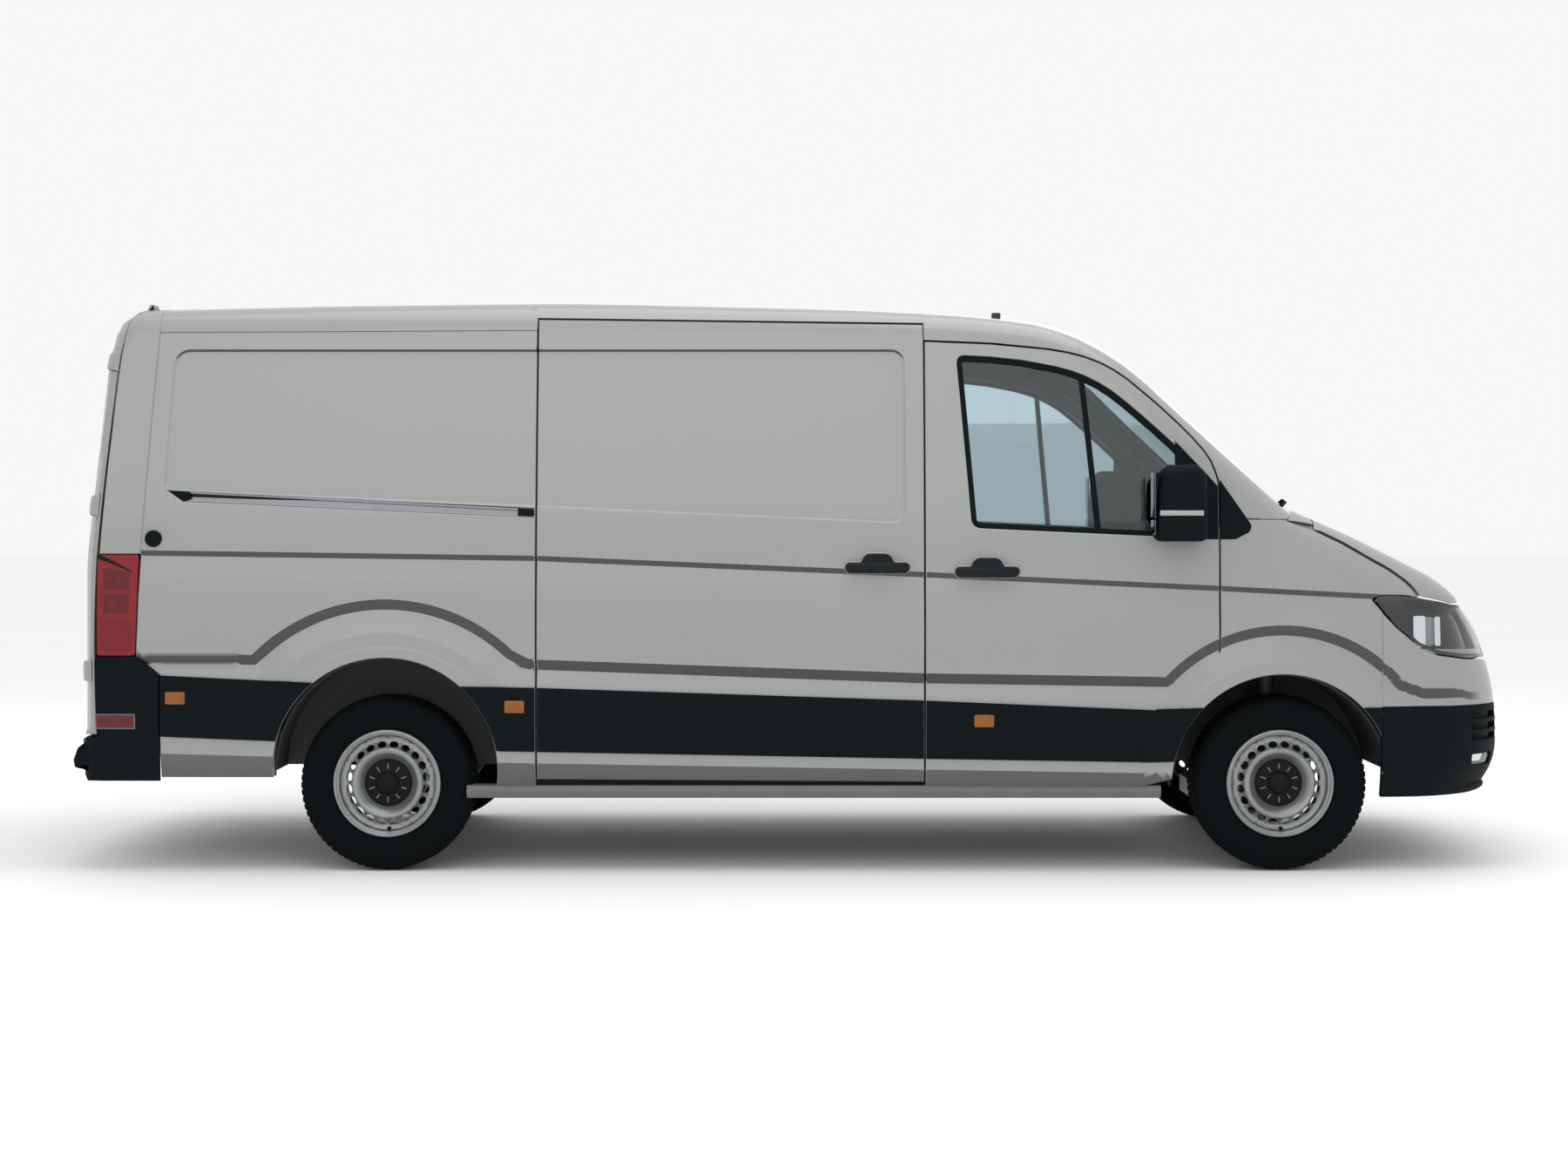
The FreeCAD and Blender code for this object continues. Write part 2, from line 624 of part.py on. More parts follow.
roof_region = prism("roof_region", "XZ", [
    (tail(290), "roof_seam_rear + seam"), (rear("slider_rear_ahead"), "roof_seam_rear + 9 + seam"),
    (front("-door_rear_back"), "roof_seam_front + seam"),
    (front("-roof_front_back"), "roof_seam_front - 140"), (front("-roof_front_back"), "2500"),
    (tail(290), "2500")], "-" + WIDE, WIDE)
roof = keep(common("roof_panel", fixed, roof_region), "roof")

rear_frame_region = prism("rear_frame_region", "XZ", [
    (tail(-100), "quarter_bottom"), (tail(310), "quarter_bottom"), (tail(310), "802"),
    (tail("rear_post_width - 18"), "873"), (tail("rear_post_width"), "1300"),
    (tail(290), "roof_seam_rear + 30"), (tail(288), "2500"), (tail(-100), "2500")],
    "-" + WIDE, WIDE)
flange = common("rear_flange", box("flange_block", (tail("rear_door_depth + seat_gap"),
                                                    tail("rear_door_depth + 60")),
                                   ("-" + WIDE, "-880"), ("floor_height + 40", "860")),
                side_section("flange_limit", "wall - 5"))
rear_frame = keep(fuse("rear_frame_solid", common("rear_frame_panel", fixed, rear_frame_region),
                       flange, mirrored("rear_flange_left", flange)), "rear_frame")

side_region = prism("side_region", "XZ", [
    (tail("312"), "quarter_bottom"), (tail(312), "802"), (tail("rear_post_width - 16"), "873"),
    (tail("rear_post_width + seam"), "1300"), (tail("290 + seam"), "roof_seam_rear"),
    (rear("slider_rear_ahead"), "roof_seam_rear + 9"), (front("-door_rear_back"), "roof_seam_front"),
    (front("-door_rear_back"), "slider_bottom - 20"), (rear(320), "slider_bottom - 20"),
    (REAR, "quarter_bottom")], "-" + WIDE, WIDE)
sides = common("side_panels", fixed, side_region)
half_right = box("half_right", ("-overall_length", "overall_length"), ("-" + WIDE, "0"),
                 ("0", "3000"))
half_left = box("half_left", ("-overall_length", "overall_length"), ("0", WIDE), ("0", "3000"))
keep(common("side_right", sides, half_right), "body_side_right")
keep(common("side_left", sides, half_left), "body_side_left")

sill_block = box("sill_block", (rear(330), front("-arch_radius_front - 2")), ("-" + WIDE, WIDE),
                 ("sill_bottom", "slider_bottom - 20 - seam"))
sills = keep(common("sill_panels", fixed, sill_block), "sills")

cab_frame_region = prism("cab_frame_region", "XZ", [
    (front("seam - roof_front_back"), "cowl_seam + seam"),
    (front(500), "cowl_seam + seam"), (front(500), "2500"), (front("seam - roof_front_back"), "2500")],
    "-" + WIDE, WIDE)
jamb_limit = side_section("jamb_limit", "wall + seat_gap")
jamb = common("jamb_post", box("jamb_block", (front("-door_front_back - 45"),
                                              front("60 - door_front_back")),
                               ("-" + WIDE, "-floor_half + 5"),
                               ("arch_radius_front + tyre_radius + 20", "cowl_seam - 20")),
              jamb_limit)
keep(group("cab_frame_group", common("cab_frame_panel", fixed, cab_frame_region), jamb,
           mirrored("jamb_post_left", jamb)), "cab_frame")

wing_region = prism("wing_region", "XZ", [
    (front("seam - arch_radius_front - 150"), "slider_bottom - 20"),
    (FRONT, "slider_bottom - 20"), (FRONT, "sill_bottom"),
    (front("wing_front_ahead"), "sill_bottom"),
    (front("wing_front_ahead"), "980"), (front("wing_front_ahead + 40"), "wing_front_top - 90"),
    (front(640), "wing_front_top + 6"), (front(640), "cowl_seam"),
    (front("seam - arch_radius_front - 150"), "cowl_seam")], "-" + WIDE, "-600")
right_wing = keep(common("right_wing", fixed, wing_region), "wing_right")
keep(mirrored("left_wing", right_wing), "wing_left")

bumper_region = prism("bumper_region", "XZ", [
    (front("wing_front_ahead + seam"), "bumper_bottom"), (front(1100), "bumper_bottom"),
    (front(1100), "bonnet_lip"), (front(660), "bonnet_lip"), (front(640), "wing_front_top"),
    (front("wing_front_ahead + 44"), "wing_front_top - 92"),
    (front("wing_front_ahead + seam"), "980")], "-" + WIDE, WIDE)
keep(common("bumper_panel", fixed, bumper_region), "front_bumper")

# Doors, bonnet and what is set into them

window_outline = prism("window_block", "XZ", [
    (front(-1320), "2097", "30"), (front(-905), "2064", "120"), (front(-770), "2000"),
    (front(-620), "1893"), (front(-450), "1738"), (front(-330), "1608"), (front(-298), "1560"),
    (front(-298), "1354"), (front(-1259), "1398", "40")], "-" + WIDE, "-600")
window_bar = box("window_bar", (front(-805), front(-773)), ("-" + WIDE, "-600"), ("1300", "2150"))
panes = cut("window_panes", window_outline, window_bar)
right_half_door = common("door_half", door_outline, half_right)
right_door = keep(cut("right_door", common("right_door_panel", shell, right_half_door), panes),
                  "front_door_right")
keep(mirrored("left_door", right_door), "front_door_left")
glass_layer = cut("side_glass_layer", side_section("glass_outside", "glass_depth"),
                  side_section("glass_inside", "glass_depth + glass"))
right_glass = keep(common("right_glass", panes, glass_layer), "door_glass_right")
keep(mirrored("left_glass", right_glass), "door_glass_left")
keep(common("slider_panel", shell, slider_outline), "sliding_door")

rear_panel = common("rear_panels", shell, rear_door_outline)
rear_half = box("rear_half", ("-overall_length", "0"), ("-" + WIDE, "-panel_gap / 2"),
                ("0", "3000"))
right_rear = keep(common("right_rear_door", rear_panel, rear_half), "rear_door_right")
keep(mirrored("left_rear_door", right_rear), "rear_door_left")

bonnet = keep(common("bonnet_panel", cut("bonnet_skin", outer, lining), bonnet_outline), "bonnet")
screen_layer = cut("screen_layer", cabin_profile("screen_outside", "4"),
                   cabin_profile("screen_inside", "4 + glass"))
keep(common("screen_pane", screen_layer, screen_outline), "windscreen")

nose_shell = cut("nose_shell", outer, inner)
right_lamp = common("right_headlamp", nose_shell, headlamp_outline)
keep(group("headlamp_pair", right_lamp, mirrored("left_headlamp", right_lamp)), "headlamps")
right_tail_lamp = common("right_tail_lamp", shell, tail_lamp_outline)
keep(group("tail_lamp_pair", right_tail_lamp, mirrored("left_tail_lamp", right_tail_lamp)),
     "tail_lamps")

# Grille: one frame with level slats and an upright in the middle

slot_tools = []
for number in range(5):
    low = "grille_bottom + 22 + %d * 38" % number
    slot_tools.append(box("grille_slot_%d" % number, (front(600), front(1060)),
                          ("-grille_half + 26", "-20"), (low, "%s + 22" % low)))
slot_tools += [mirrored(tool.Name + "_left", tool) for tool in slot_tools[:5]]
grille = keep(cut("grille_panel", common("grille_solid", nose_shell, grille_block), *slot_tools),
              "grille")

# Side cladding, trim on the sides

clad_layer = cut("clad_layer", side_section("clad_outside", "-clad_out"),
                 side_section("clad_inside", "0"))
clad_band = prism("clad_band", "XZ", [
    (tail(310), "553"), (rear(465), "493"), (front(-567), "447"), (front(-567), "671"),
    (tail(310), "802")], "-" + WIDE, WIDE)
clad_arches = fuse("clad_arches",
                   rod("clad_rear_arch", "y", (REAR, "arch_height_rear"), "arch_radius_rear + 20",
                       "-" + WIDE, WIDE),
                   rod("clad_front_arch", "y", (FRONT, "tyre_radius"), "door_arch_radius + 12",
                       "-" + WIDE, WIDE))
cladding = cut("cladding", common("clad_strip", clad_layer, clad_band), clad_arches)
door_span = box("door_span", (front("-door_rear_back + 4"), FRONT), ("-" + WIDE, "0"),
                ("0", "1000"))
slider_span = box("slider_span", (rear("slider_rear_ahead + 4"),
                                  front("-door_rear_back - panel_gap - 4")),
                  ("-" + WIDE, "0"), ("0", "1000"))
quarter_span = box("quarter_span", ("-overall_length", rear("slider_rear_ahead - panel_gap - 4")),
                   ("-" + WIDE, "0"), ("0", "1000"))
left_span = box("left_span", ("-overall_length", front("-door_rear_back - panel_gap - 4")),
                ("0", WIDE), ("0", "1000"))
handle_layer = cut("handle_layer", side_section("handle_outside", "-34"),
                   side_section("handle_inside", "0"))


def handle(name, ahead):
    """An upright grip with a broad base, standing out from the door skin."""
    grip = prism(name + "_outline_block", "XZ", [
        (front("%s - 128" % ahead), "waist_height - 38", "18"),
        (front("%s + 128" % ahead), "waist_height - 38", "18"),
        (front("%s + 128" % ahead), "waist_height + 42", "18"),
        (front("%s - 128" % ahead), "waist_height + 42", "18")], "-" + WIDE, "0")
    return common(name, handle_layer, grip)


door_trim = keep(group("door_trim", common("door_cladding", cladding, door_span),
                       handle("door_handle", "-1199")), "door_trim_right")
keep(mirrored("door_trim_mirror", door_trim), "door_trim_left")
buffer_right = rod("buffer_right", "y", (tail(285), "1355"), "32", "-waist_half_width - 30",
                   "-waist_half_width + 4")
keep(group("side_trim",
           common("slider_cladding", cladding, slider_span),
           common("quarter_cladding", cladding, quarter_span),
           common("left_cladding", cladding, left_span),
           handle("slider_handle", "-1652"), buffer_right,
           mirrored("buffer_left", buffer_right)), "side_trim")
slide_band = cut("slide_band", side_section("slide_outside", "-6"),
                 side_section("slide_inside", "groove_depth"))
keep(common("slide_rail_channel", slide_band, rail_slot), "slide_rail")

# Mirrors on the cab doors

mirror_shell = prism("mirror_shell", "XZ", [
    (front(-500), "1352", "60"), (front(-300), "1380", "60"), (front(-322), "1640", "50"),
    (front(-480), "1655", "60")], "-1213", "-1045")
mirror_head = rounded("mirror_head", mirror_shell, "28", lambda edge: edge.BoundBox.YLength < 1)
mirror_foot = box("mirror_foot", (front(-440), front(-370)), ("-1060", "-1000"),
                  ("1288", "1342"))
mirror_neck = box("mirror_neck", (front(-440), front(-370)), ("-1120", "-1045"),
                  ("1288", "1385"))
right_mirror = keep(cut("right_mirror", fuse("mirror_and_arm", mirror_head, mirror_foot, mirror_neck),
                        side_section("mirror_seat", "0")), "door_mirror_right")
keep(mirrored("left_mirror", right_mirror), "door_mirror_left")

# Wheels: tyre, pressed rim with twenty holes, knuckle and axle

half_tyre = "tyre_width / 2"
half_rim = "rim_width / 2"


def wheel(label, place, side):
    """Tyre and rim of one corner; side is 1 on the left and -1 on the right."""
    centre = (place, "%d * track_half" % side, "tyre_radius")
    keep(spun("ring_" + label, [
        ("rim_radius", "-(%s)" % half_rim), ("rim_radius + 95", "-(%s)" % half_tyre),
        ("tyre_radius", "-tyre_tread / 2"), ("tyre_radius", "tyre_tread / 2"),
        ("rim_radius + 95", half_tyre), ("rim_radius", half_rim)], centre), "tyre_" + label)
    outline = [
        ("hub_radius + 1", "30"), ("hub_radius + 65", "30"), ("rim_radius - 60", "62"),
        ("rim_radius - 12", "26"), ("rim_radius - 12", "-(%s)" % half_rim),
        ("rim_radius", "-(%s)" % half_rim), ("rim_radius", half_rim),
        ("rim_radius - 12", half_rim), ("rim_radius - 12", "44"), ("rim_radius - 60", "76"),
        ("hub_radius + 65", "44"), ("hub_radius + 1", "44")]
    if side < 0:
        outline = [(radius, "-(%s)" % place) for radius, place in reversed(outline)]
    pressing = spun("pressing_" + label, outline, centre)
    hole = doc.addObject("Part::Prism", "rim_hole_" + label)
    hole.Polygon = 6
    hole.setExpression("Circumradius", bound("rim_hole_radius"))
    hole.Height = 80
    doc.recompute()
    ring = doc.addObject("Part::Feature", "rim_holes_" + label)
    holes = []
    count = int(value("rim_holes"))
    for number in range(count):
        angle = math.radians(360.0 * number / count)
        tool = hole.Shape.copy()
        tool.Placement = FreeCAD.Placement(
            FreeCAD.Vector(value("rim_hole_circle") * math.cos(angle), 0 if side > 0 else -80,
                           value("rim_hole_circle") * math.sin(angle)),
            FreeCAD.Rotation(X_AXIS, -90))
        holes.append(tool)
    ring.Shape = Part.makeCompound(holes)
    for letter, middle in zip("xyz", centre):
        ring.setExpression("Placement.Base." + letter, bound(middle))
    disc = cut("rim_disc_" + label, pressing, ring)
    cap = rod("hub_cap_" + label, "y", (place, "tyre_radius"), "hub_radius + 42",
              "%d * track_half + %d" % (side, 44 if side > 0 else -70),
              "%d * track_half + %d" % (side, 70 if side > 0 else -44))
    keep(fuse("rim_and_cap_" + label, disc, cap), "rim_" + label)


CORNERS = [("front_right", FRONT, -1), ("front_left", FRONT, 1), ("rear_right", REAR, -1),
           ("rear_left", REAR, 1)]
for label, place, side in CORNERS:
    wheel(label, place, side)

upright = prism("upright", "XZ", [
    (front(-45), "tyre_radius - 140", "20"), (front(45), "tyre_radius - 140", "20"),
    (front(60), "tyre_radius", "40"), (front(40), "tyre_radius + 150", "20"),
    (front(-40), "tyre_radius + 150", "20"), (front(-60), "tyre_radius", "40")],
    "-kingpin_half - 10", "30 - kingpin_half")
right_knuckle = keep(fuse(
    "right_knuckle", upright,
    rod("front_spindle", "y", (FRONT, "tyre_radius"), "hub_radius", "-track_half - 40",
        "-kingpin_half"),
    rod("ball_joint", "z", (FRONT, "-kingpin_half"), "14", "tyre_radius - 146 + seat_gap",
        "tyre_radius - 130"),
    rod("front_brake_disc", "y", (FRONT, "tyre_radius"), "brake_radius", "-track_half + 12",
        "-track_half + 36"),
    box("front_caliper", (front(-150), front(-95)), ("-track_half - 2", "60 - track_half"),
        ("tyre_radius - 60", "tyre_radius + 60")),
    box("caliper_bracket", (front(-110), front(-30)), ("30 - track_half", "-kingpin_half + 10"),
        ("tyre_radius - 25", "tyre_radius + 25"))), "knuckle_right")
keep(mirrored("left_knuckle", right_knuckle), "knuckle_left")

# Underbody: floor, frame rails, suspension, driveline blocks

floor_low = "floor_height - floor_thickness"
rails = []
for name, side in (("left", 1), ("right", -1)):
    low, high = ("rail_half", "rail_half + rail_width") if side > 0 else (
        "-rail_half - rail_width", "-rail_half")
    rails.append(box("rail_" + name, (tail(70), front(700)), (low, high),
                     ("floor_height - floor_thickness - rail_height", floor_low)))
for number, place in enumerate((tail(90), rear(560), rear(1500), rear(2400), front(-500))):
    rails.append(box("cross_member_%d" % number, (place, place + " + 80"),
                     ("-rail_half", "rail_half"), (floor_low + " - 70", floor_low)))
rails.append(box("front_member", (front(640), front(700)), ("-rail_half", "rail_half"),
                 (floor_low + " - 118", floor_low + " - 60")))
load_floor = common("load_floor", box("load_floor_block", (tail(70), front("-bulkhead_back")),
                                      ("-" + WIDE, WIDE), (floor_low, "floor_height")), inner)
cab_floor = box("cab_floor", (front("-bulkhead_back"), front(-480)),
                ("-floor_half", "floor_half"), (floor_low, "cab_floor_height"))
rear_tub = rod("rear_tub", "y", (REAR, "arch_height_rear"), "arch_radius_rear",
               "rear_housing_half", WIDE)
front_tub = rod("front_tub", "y", (FRONT, "tyre_radius"), "arch_radius_front",
                "housing_half", WIDE)
tubs = [rear_tub, mirrored("rear_tub_right", rear_tub), front_tub,
        mirrored("front_tub_right", front_tub)]
tow_holes = [rod("tow_hole_%d" % number, "z", ("%s + 40 + %d * tow_hole_step" % (tail(90), ahead),
                                               "%d * tow_hole_half" % across),
                 "tow_hole_radius", floor_low + " - 90", floor_low)
             for number, (ahead, across) in enumerate(((-1, -1), (-1, 1), (1, -1), (1, 1)))]
keep(cut("floor_and_rails",
         fuse("floor_with_rails",
              cut("floor_plate", fuse("floor_plates", load_floor, cab_floor),
                  fuse("tubs", *tubs)), *rails),
         *tow_holes), "floor_frame")


def housing(name, place, height, radius, inner_half):
    """Half drum over a wheel, closed on its inner side and open below."""
    drum = rod(name + "_drum", "y", (place, height), radius, inner_half, "floor_half + 20")
    hollow = rod(name + "_hollow", "y", (place, height), "%s - housing_wall" % radius,
                 inner_half + " + housing_wall", "floor_half + 40")
    below = box(name + "_below", (place + " - 700", place + " + 700"), ("0", WIDE),
                ("-700", "floor_height - 160"))
    shape = cut(name, drum, hollow, below)
    return [shape, mirrored(name + "_right", shape)]


keep(group("wheel_drums",
           *(housing("rear_housing", REAR, "arch_height_rear", "arch_radius_rear",
                     "rear_housing_half")
             + housing("front_housing", FRONT, "tyre_radius", "arch_radius_front",
                       "housing_half"))), "wheel_housings")

bulkhead = prism("bulkhead_plate", "YZ", [
    ("-930", "cab_floor_height"), ("930", "cab_floor_height"), ("930", "1300"),
    ("800", "2200", "80"), ("-800", "2200", "80"), ("-930", "1300")],
    front("0.5 - bulkhead_back"), front("30 - bulkhead_back"))
keep(bulkhead, "bulkhead")
firewall = prism("firewall", "YZ", [
    ("-440", "floor_height"), ("440", "floor_height"), ("440", "830"), ("880", "830"),
    ("880", "1380"), ("-880", "1380"), ("-880", "830"), ("-440", "830")], front(60), front(84))
dash_roll = prism("dash_roll", "XZ", [
    (front(-330), "960", "40"), (front(-250), "1180", "60"), (front(-200), "1330", "50"),
    (front(20), "1400", "30"), (front(110), "1400"), (front(110), "1340"), (front(84), "1340"),
    (front(84), "900"), (front(-200), "880", "40")], "-900", "900")
keep(fuse("dash_and_firewall", dash_roll, firewall,
          common("dash_beam", box("beam_block", (front(-170), front(-110)), ("-" + WIDE, WIDE),
                                  ("1180", "1240")), inner)), "dashboard")

seat_profile = [
    (front(-1180), "cab_floor_height"), (front(-700), "cab_floor_height"), (front(-660), "900", "60"),
    (front(-640), "1010", "50"), (front(-1080), "990", "40"), (front(-1230), "1400", "50"),
    (front(-1340), "1390", "50"), (front(-1230), "940", "60"), (front(-1180), "900")]
keep(group("seat_blocks",
           prism("driver_seat", "XZ", seat_profile, "190", "720"),
           prism("bench_seat", "XZ", seat_profile, "-780", "130")), "seats")

steering_rim = spun("steering_rim", [
    ("180", "-6"), ("189", "-15"), ("201", "-15"), ("210", "-6"), ("210", "6"), ("201", "15"),
    ("189", "15"), ("180", "6")], (front(-450), "425", "1235"),
    FreeCAD.Rotation(Y_AXIS, -62) * FreeCAD.Rotation(X_AXIS, 90))
column = doc.addObject("Part::Cylinder", "steering_column")
column.Radius = 30
column.Height = 330
column.Placement = FreeCAD.Placement(FreeCAD.Vector(), FreeCAD.Rotation(Y_AXIS, 118))
column.setExpression("Placement.Base.x", bound(front(-450)))
column.setExpression("Placement.Base.y", "425")
column.setExpression("Placement.Base.z", "1235")
spokes = doc.addObject("Part::Box", "steering_spokes")
spokes.Length = 20
spokes.Width = 390
spokes.Height = 60
spokes.Placement = FreeCAD.Placement(FreeCAD.Vector(), FreeCAD.Rotation(Y_AXIS, 28))
spokes.setExpression("Placement.Base.x", bound(front(-455)))
spokes.setExpression("Placement.Base.y", "425 - 195")
spokes.setExpression("Placement.Base.z", "1205")
doc.recompute()
steering = fuse("steering_solid", steering_rim, spokes, column)
keep(cut("steering_wheel_cut", steering, dash_roll), "steering_wheel")

strut_half = "kingpin_half - 140"
lower_arm = prism("lower_arm", "XY", [
    (front(-170), "-240"), (front(170), "-240"), (front(45), "100 - kingpin_half"),
    (front(32), "-kingpin_half - 16", "14"), (front(-32), "-kingpin_half - 16", "14"),
    (front(-45), "100 - kingpin_half")], "tyre_radius - 178", "tyre_radius - 146")
strut = rod("strut", "z", (FRONT, "-(%s)" % strut_half), "38", "tyre_radius - 146",
            "tyre_radius + arch_radius_front - housing_wall - 2")
subframe = box("subframe", (front(-200), front(200)), ("-420", "420"), ("tyre_radius - 178", "252"))
subframe_posts = box("subframe_post", (front(-60), front(60)), ("-455", "-405"),
                     ("252", floor_low + " - rail_height"))
half_suspension = fuse("half_suspension", lower_arm, strut, subframe_posts)
keep(fuse("front_suspension_all", subframe, half_suspension,
          mirrored("half_suspension_left", half_suspension)), "front_suspension")

leaf = prism("leaf_spring", "XZ", [
    (rear(-680), floor_low + " - rail_height + 24"), (rear(-640), floor_low + " - rail_height + 24"),
    (rear(-60), "tyre_radius + 50"), (rear(60), "tyre_radius + 50"),
    (rear(600), floor_low + " - rail_height + 24"), (rear(640), floor_low + " - rail_height + 24"),
    (rear(640), floor_low + " - rail_height - 4"), (rear(600), floor_low + " - rail_height - 4"),
    (rear(60), "tyre_radius + 20"), (rear(-60), "tyre_radius + 20"),
    (rear(-640), floor_low + " - rail_height - 4"), (rear(-680), floor_low + " - rail_height - 4"),
], "-rail_half - rail_width - 72", "-rail_half - rail_width - 2")
shackles = [box("shackle_%d" % number, (place, place + " + 40"),
                ("-rail_half - rail_width - 60", "-rail_half - rail_width - seat_gap"),
                (floor_low + " - rail_height - 2", floor_low + " - rail_height + 60"))
            for number, place in enumerate((rear(-680), rear(600)))]
half_axle = fuse("half_axle", leaf, *shackles,
                 rod("rear_brake", "y", (REAR, "tyre_radius"), "brake_radius",
                     "40 - track_half", "110 - track_half"),
                 rod("rear_spindle", "y", (REAR, "tyre_radius"), "hub_radius",
                     "-track_half - 40", "50 - track_half"))
keep(fuse("rear_axle_all", rod("axle_beam", "y", (REAR, "tyre_radius"), "45",
                               "60 - track_half", "track_half - 60"),
          half_axle, mirrored("half_axle_left", half_axle)), "rear_axle")

keep(rounded("engine_block", box("engine_box", (front(120), front(560)),
                                 ("-rail_half", "rail_half"), (floor_low + " - 118", "980")),
             "30", lambda edge: edge.BoundBox.YLength > 500 and edge.BoundBox.ZMin > 900),
     "engine")
bonnet_lock = common("bonnet_lock", box("lock_block", (front(660), front(695)), ("-40", "40"),
                                        ("1000", "1400")),
                     nose_profile("lock_limit", "skin + seat_gap"))
keep(fuse("radiator_and_lock",
          box("radiator_box", (front(655), front(700)), ("-380", "380"),
              (floor_low + " - 60", "1010")), bonnet_lock), "radiator")
keep(rounded("tank", box("tank_box", (rear(850), rear(1750)), ("rail_half + rail_width", "880"),
                         ("300", "520")), "40",
             lambda edge: edge.BoundBox.XLength > 500 and edge.BoundBox.ZMax < 310), "fuel_tank")
silencer = rod("silencer", "x", ("-600", "400"), "85", rear(1000), rear(1600))
keep(fuse("exhaust_line", silencer,
          rod("exhaust_front", "x", ("-600", "400"), "28", rear(1590), front(-700)),
          rod("exhaust_rear", "x", ("-600", "440"), "28", rear(-900), rear(1010)),
          box("exhaust_hanger", (rear(1280), rear(1310)), ("-620", "-580"),
              ("400", floor_low))), "exhaust")

step = prism("step_side", "XZ", [
    (tail("-seat_gap"), "quarter_bottom - 30"),
    (tail(-60), "quarter_bottom - 30", "25"),
    (tail("-step_depth"), "430", "18"), (tail("-step_depth"), "500", "12"),
    (tail(-10), "rear_door_bottom - panel_gap - 8"),
    (tail("-seat_gap"), "rear_door_bottom - panel_gap - 8")], "-980", "980")
step_plan = prism("step_plan", "XY", [
    (tail("rear_door_depth + panel_gap"), "980"), (tail("-step_depth"), "980", "90"),
    (tail("-step_depth"), "-980", "90"), (tail("rear_door_depth + panel_gap"), "-980")], "100", "800")
keep(common("rear_step", step, step_plan), "rear_bumper")

roof_pod = rounded("roof_pod", box("pod_box", (tail(215), tail(305)), ("-90", "90"),
                                   ("2325", "2350")), "10",
                   lambda edge: edge.BoundBox.ZMin > 2340)
aerial = rod("aerial", "z", (front(-1080), "0"), "20", "2270", "2342")
keep(group("roof_fittings_group", cut("pod_seated", roof_pod, outer),
           cut("aerial_seated", aerial, outer)), "roof_fittings")
wiper = prism("wiper_blade", "XY", [
    (front(70), "60"), (front(150), "700"), (front(130), "712"), (front(50), "70")],
    "1300", "1700")
wiper_layer = cut("wiper_layer", cabin_profile("wiper_outside", "-22"),
                  cabin_profile("wiper_inside", "4 - seat_gap"))
right_wiper = common("left_side_wiper", wiper, wiper_layer)
keep(group("wiper_pair", right_wiper, mirrored("right_side_wiper", right_wiper)), "wipers")

doc.recompute()
for item in doc.Objects:
    if "Invalid" in item.State or "Error" in item.State:
        raise RuntimeError("%s: %s" % (item.Name, item.State))
for part in parts:
    if part.Shape.isNull() or not part.Shape.isValid():
        raise RuntimeError("%s has no valid shape" % part.Label)
os.makedirs("parts", exist_ok=True)
for part in parts:
    part.Shape.exportStep("parts/%s.step" % part.Label)
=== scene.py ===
"""Looks of the panel van: smooth body panels, glass, lamps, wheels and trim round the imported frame."""

import json
import math

import bmesh
import bpy
import numpy as np
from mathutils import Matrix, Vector
from mathutils.geometry import delaunay_2d_cdt


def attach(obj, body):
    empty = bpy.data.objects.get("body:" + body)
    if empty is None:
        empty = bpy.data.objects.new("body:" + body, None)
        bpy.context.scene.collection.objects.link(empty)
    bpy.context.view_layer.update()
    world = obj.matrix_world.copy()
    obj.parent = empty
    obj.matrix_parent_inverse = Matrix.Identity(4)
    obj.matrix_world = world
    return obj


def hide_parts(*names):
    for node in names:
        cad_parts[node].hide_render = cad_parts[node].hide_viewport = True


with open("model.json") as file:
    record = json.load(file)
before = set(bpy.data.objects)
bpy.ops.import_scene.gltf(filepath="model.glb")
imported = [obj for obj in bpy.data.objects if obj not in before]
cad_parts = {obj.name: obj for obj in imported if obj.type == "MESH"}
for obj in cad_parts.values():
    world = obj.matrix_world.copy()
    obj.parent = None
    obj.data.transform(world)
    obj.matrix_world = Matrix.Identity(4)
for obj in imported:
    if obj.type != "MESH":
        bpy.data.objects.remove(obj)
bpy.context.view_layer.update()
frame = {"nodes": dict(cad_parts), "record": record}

# All helper shapes are worked out in millimetres: x forward, y left, z up.
MM = 0.001
FRONT = 1992.0
REAR = -1648.0
TAIL = -2870.0
NOSE = 2993.0
WHEEL_HEIGHT = 356.0
REAR_ARCH_HEIGHT = 415.0
FRONT_AXLE = (FRONT, WHEEL_HEIGHT)
REAR_AXLE = (REAR, REAR_ARCH_HEIGHT)
# Centres and radii of the raised lips over the wheels
ARCH_LIPS = (((REAR, WHEEL_HEIGHT), 565.0), (FRONT_AXLE, 512.0))
LIP_BAND = 14


# Small helpers on points

def points(values):
    return np.array(values, float)


